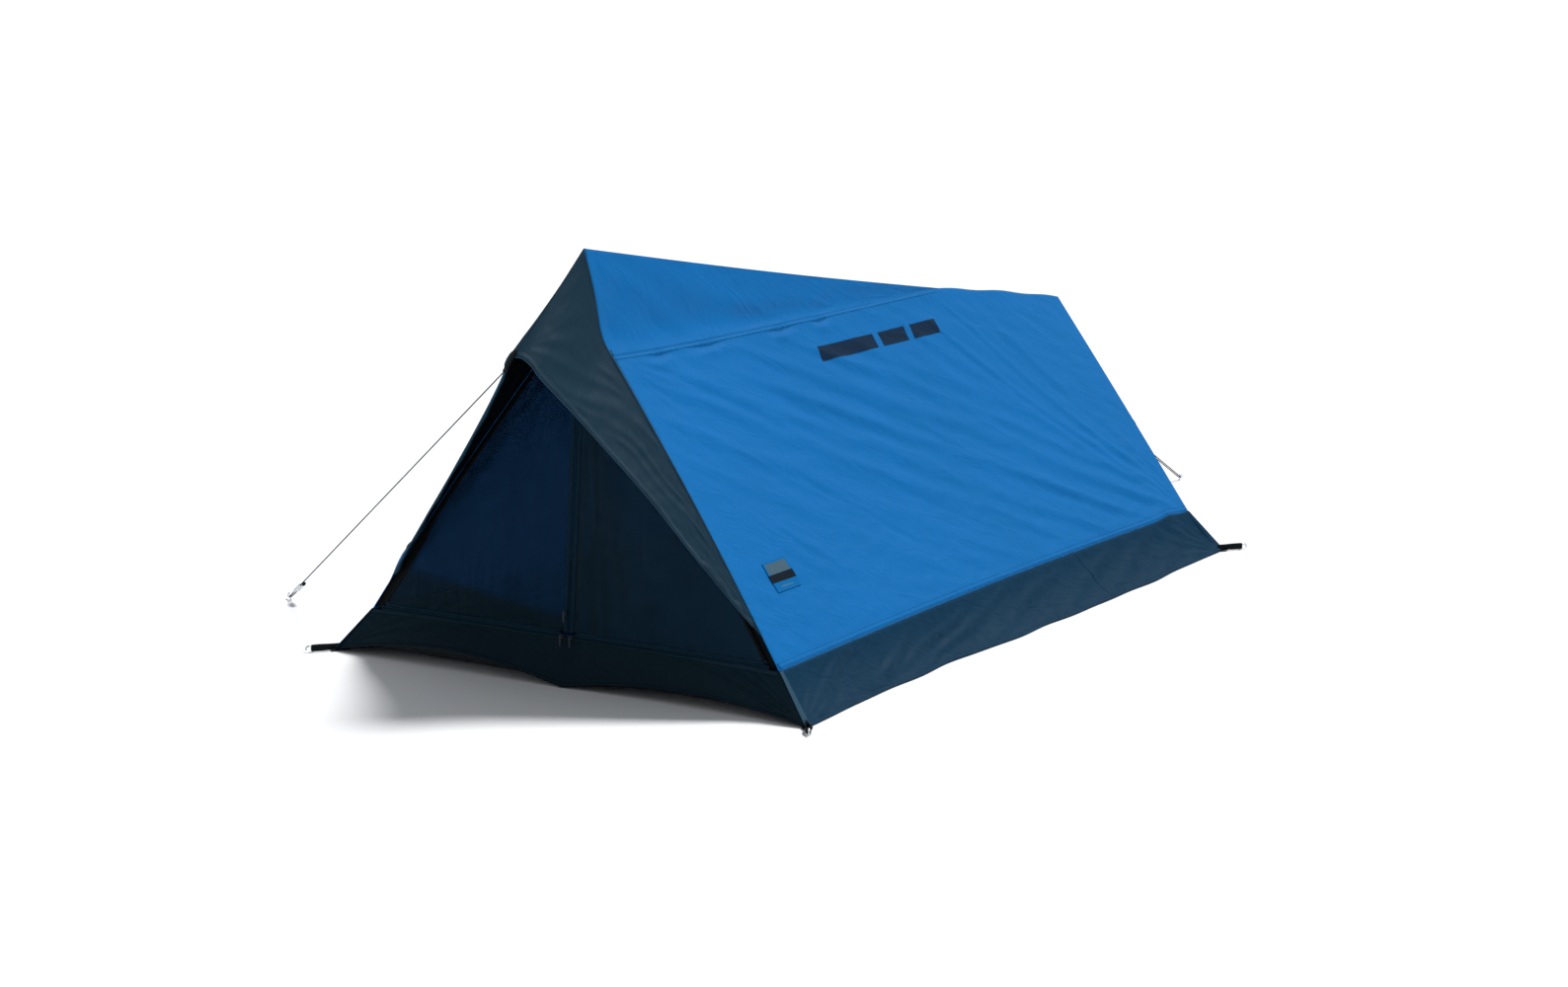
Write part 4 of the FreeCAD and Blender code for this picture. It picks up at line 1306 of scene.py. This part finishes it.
def guy_tabs():
    """A folded strap at the beak and at the awning's tip."""
    for end, anchor, route in (("front", BEAK, FRONT_GUY), ("rear", AWNING_TIP, REAR_GUY)):
        tie = np.array(route[0])
        pull = unit(tie - anchor)
        flat = unit(np.cross(pull, UP))
        lift = np.cross(flat, pull)
        start, nose = anchor - pull * 0.014, tie - pull * 0.001
        middle = start + (nose - start) * 0.6
        over = [start + lift * 0.0012, middle + lift * 0.0016, nose + lift * 0.001]
        under = [nose + pull * 0.0018, nose - lift * 0.001, middle - lift * 0.0016, start - lift * 0.0012]
        path = smooth_through(over + under, steps(40))
        ahead = unit(np.gradient(path, axis=0))
        ribbon(end + "_guy_loop", path, flat, np.cross(ahead, flat), 0.012, 0.0011, "webbing",
               replaced=[end + "_guy_tab"])


def toggles():
    """Elastic loops that hold the tie-back toggles."""
    height, radius = 0.430, 0.0042
    angle = np.linspace(0, 2 * math.pi, 40)
    ring = np.stack([radius * np.cos(angle) + 0.004, radius * np.sin(angle), 0.002 * np.sin(angle)], axis=-1)
    place = vec(front_edge_x(height) - 0.016, door_y(height) + 0.012, height)
    for side, turn, _ in SIDES:
        points, faces = tube((place + ring) * turn, 0.0009, 8)
        make_object("toggle_elastic_" + side, points, faces, "cord")


def foot_patches():
    """Stitched squares of tub cloth under each pole."""
    across = -FORWARD
    for end, y, replaced in (("front", -0.880, ["pole_foot_patches"]), ("rear", 0.925, ())):
        path = between(vec(-0.035, y, 0.002), vec(0.035, y, 0.002), steps(20))
        ribbon("foot_patch_" + end, path, across, UP, 0.056, 0.0010, "tub", replaced=replaced)
        for offset in (-0.025, 0.025):
            stitch("foot_patch_stitches", "tub_cloth", path, across, UP, offset, lift=0.0011)


def side_patch(points, normal):
    """The plain woven patch low on the right roof panel. It follows the cloth's folds under it."""
    centre = vec(0.3975, -0.785, 0.243)
    width, height, smoothing, beside = 0.096, 0.066, 0.008, 14
    nearest = np.argmin(np.linalg.norm(points.reshape(-1, 3) - centre, axis=1))
    i, j = divmod(int(nearest), MAIN_COLUMNS)
    out = normal[i, j]
    along = unit(points[i + 6, j] - points[i - 6, j])
    down = unit(points[i, j + 6] - points[i, j - 6])
    down = unit(down - along * (down @ along))
    over, drop = np.linspace(-width / 2, width / 2, 40), np.linspace(-height / 2, height / 2, 28)
    grid = points[i, j] + along * over[:, None, None] + down * drop[None, :, None]
    near = points[i - beside:i + beside + 1, j - beside:j + beside + 1].reshape(-1, 3)
    for place in grid.reshape(-1, 3):
        weight = hump(np.linalg.norm(near - place, axis=1), 0.0, smoothing)
        place += out * (((near - place) @ out) @ weight / weight.sum())
    rise = np.full(grid.shape[:2], 0.0016)
    cloth_panel("woven_patch", grid, INSIDE, rise, "label", "side_label", thick=0.0012)


def rigid_parts():
    """CAD nodes whose shape is right keep it, and get a detailed material."""
    looks = (("front_pole_foot_cup", "black"), ("rear_pole_foot_cup", "black"),
             ("front_pole_top_plug", "black"), ("rear_pole_top_plug", "black"), ("door_toggles", "black"),
             ("front_pole", "pole"), ("rear_pole", "pole"), ("peg_", "peg"), ("zip_slider", "zinc"),
             ("zip_pull", "zinc"), ("front_runner", "runner"), ("rear_runner", "runner"))
    for name, node in NODES.items():
        for start, look in looks:
            if name.startswith(start):
                node.data.materials.clear()
                node.data.materials.append(MATERIALS[look])
                break


make_camera()
make_materials()
guy_line("front", FRONT_GUY)
guy_line("rear", REAR_GUY)
make_studio()
make_roof()
make_tub()
make_floor()
make_rear()
make_door()
corner_loops()
guy_tabs()
toggles()
foot_patches()
rigid_parts()
make_stitches()
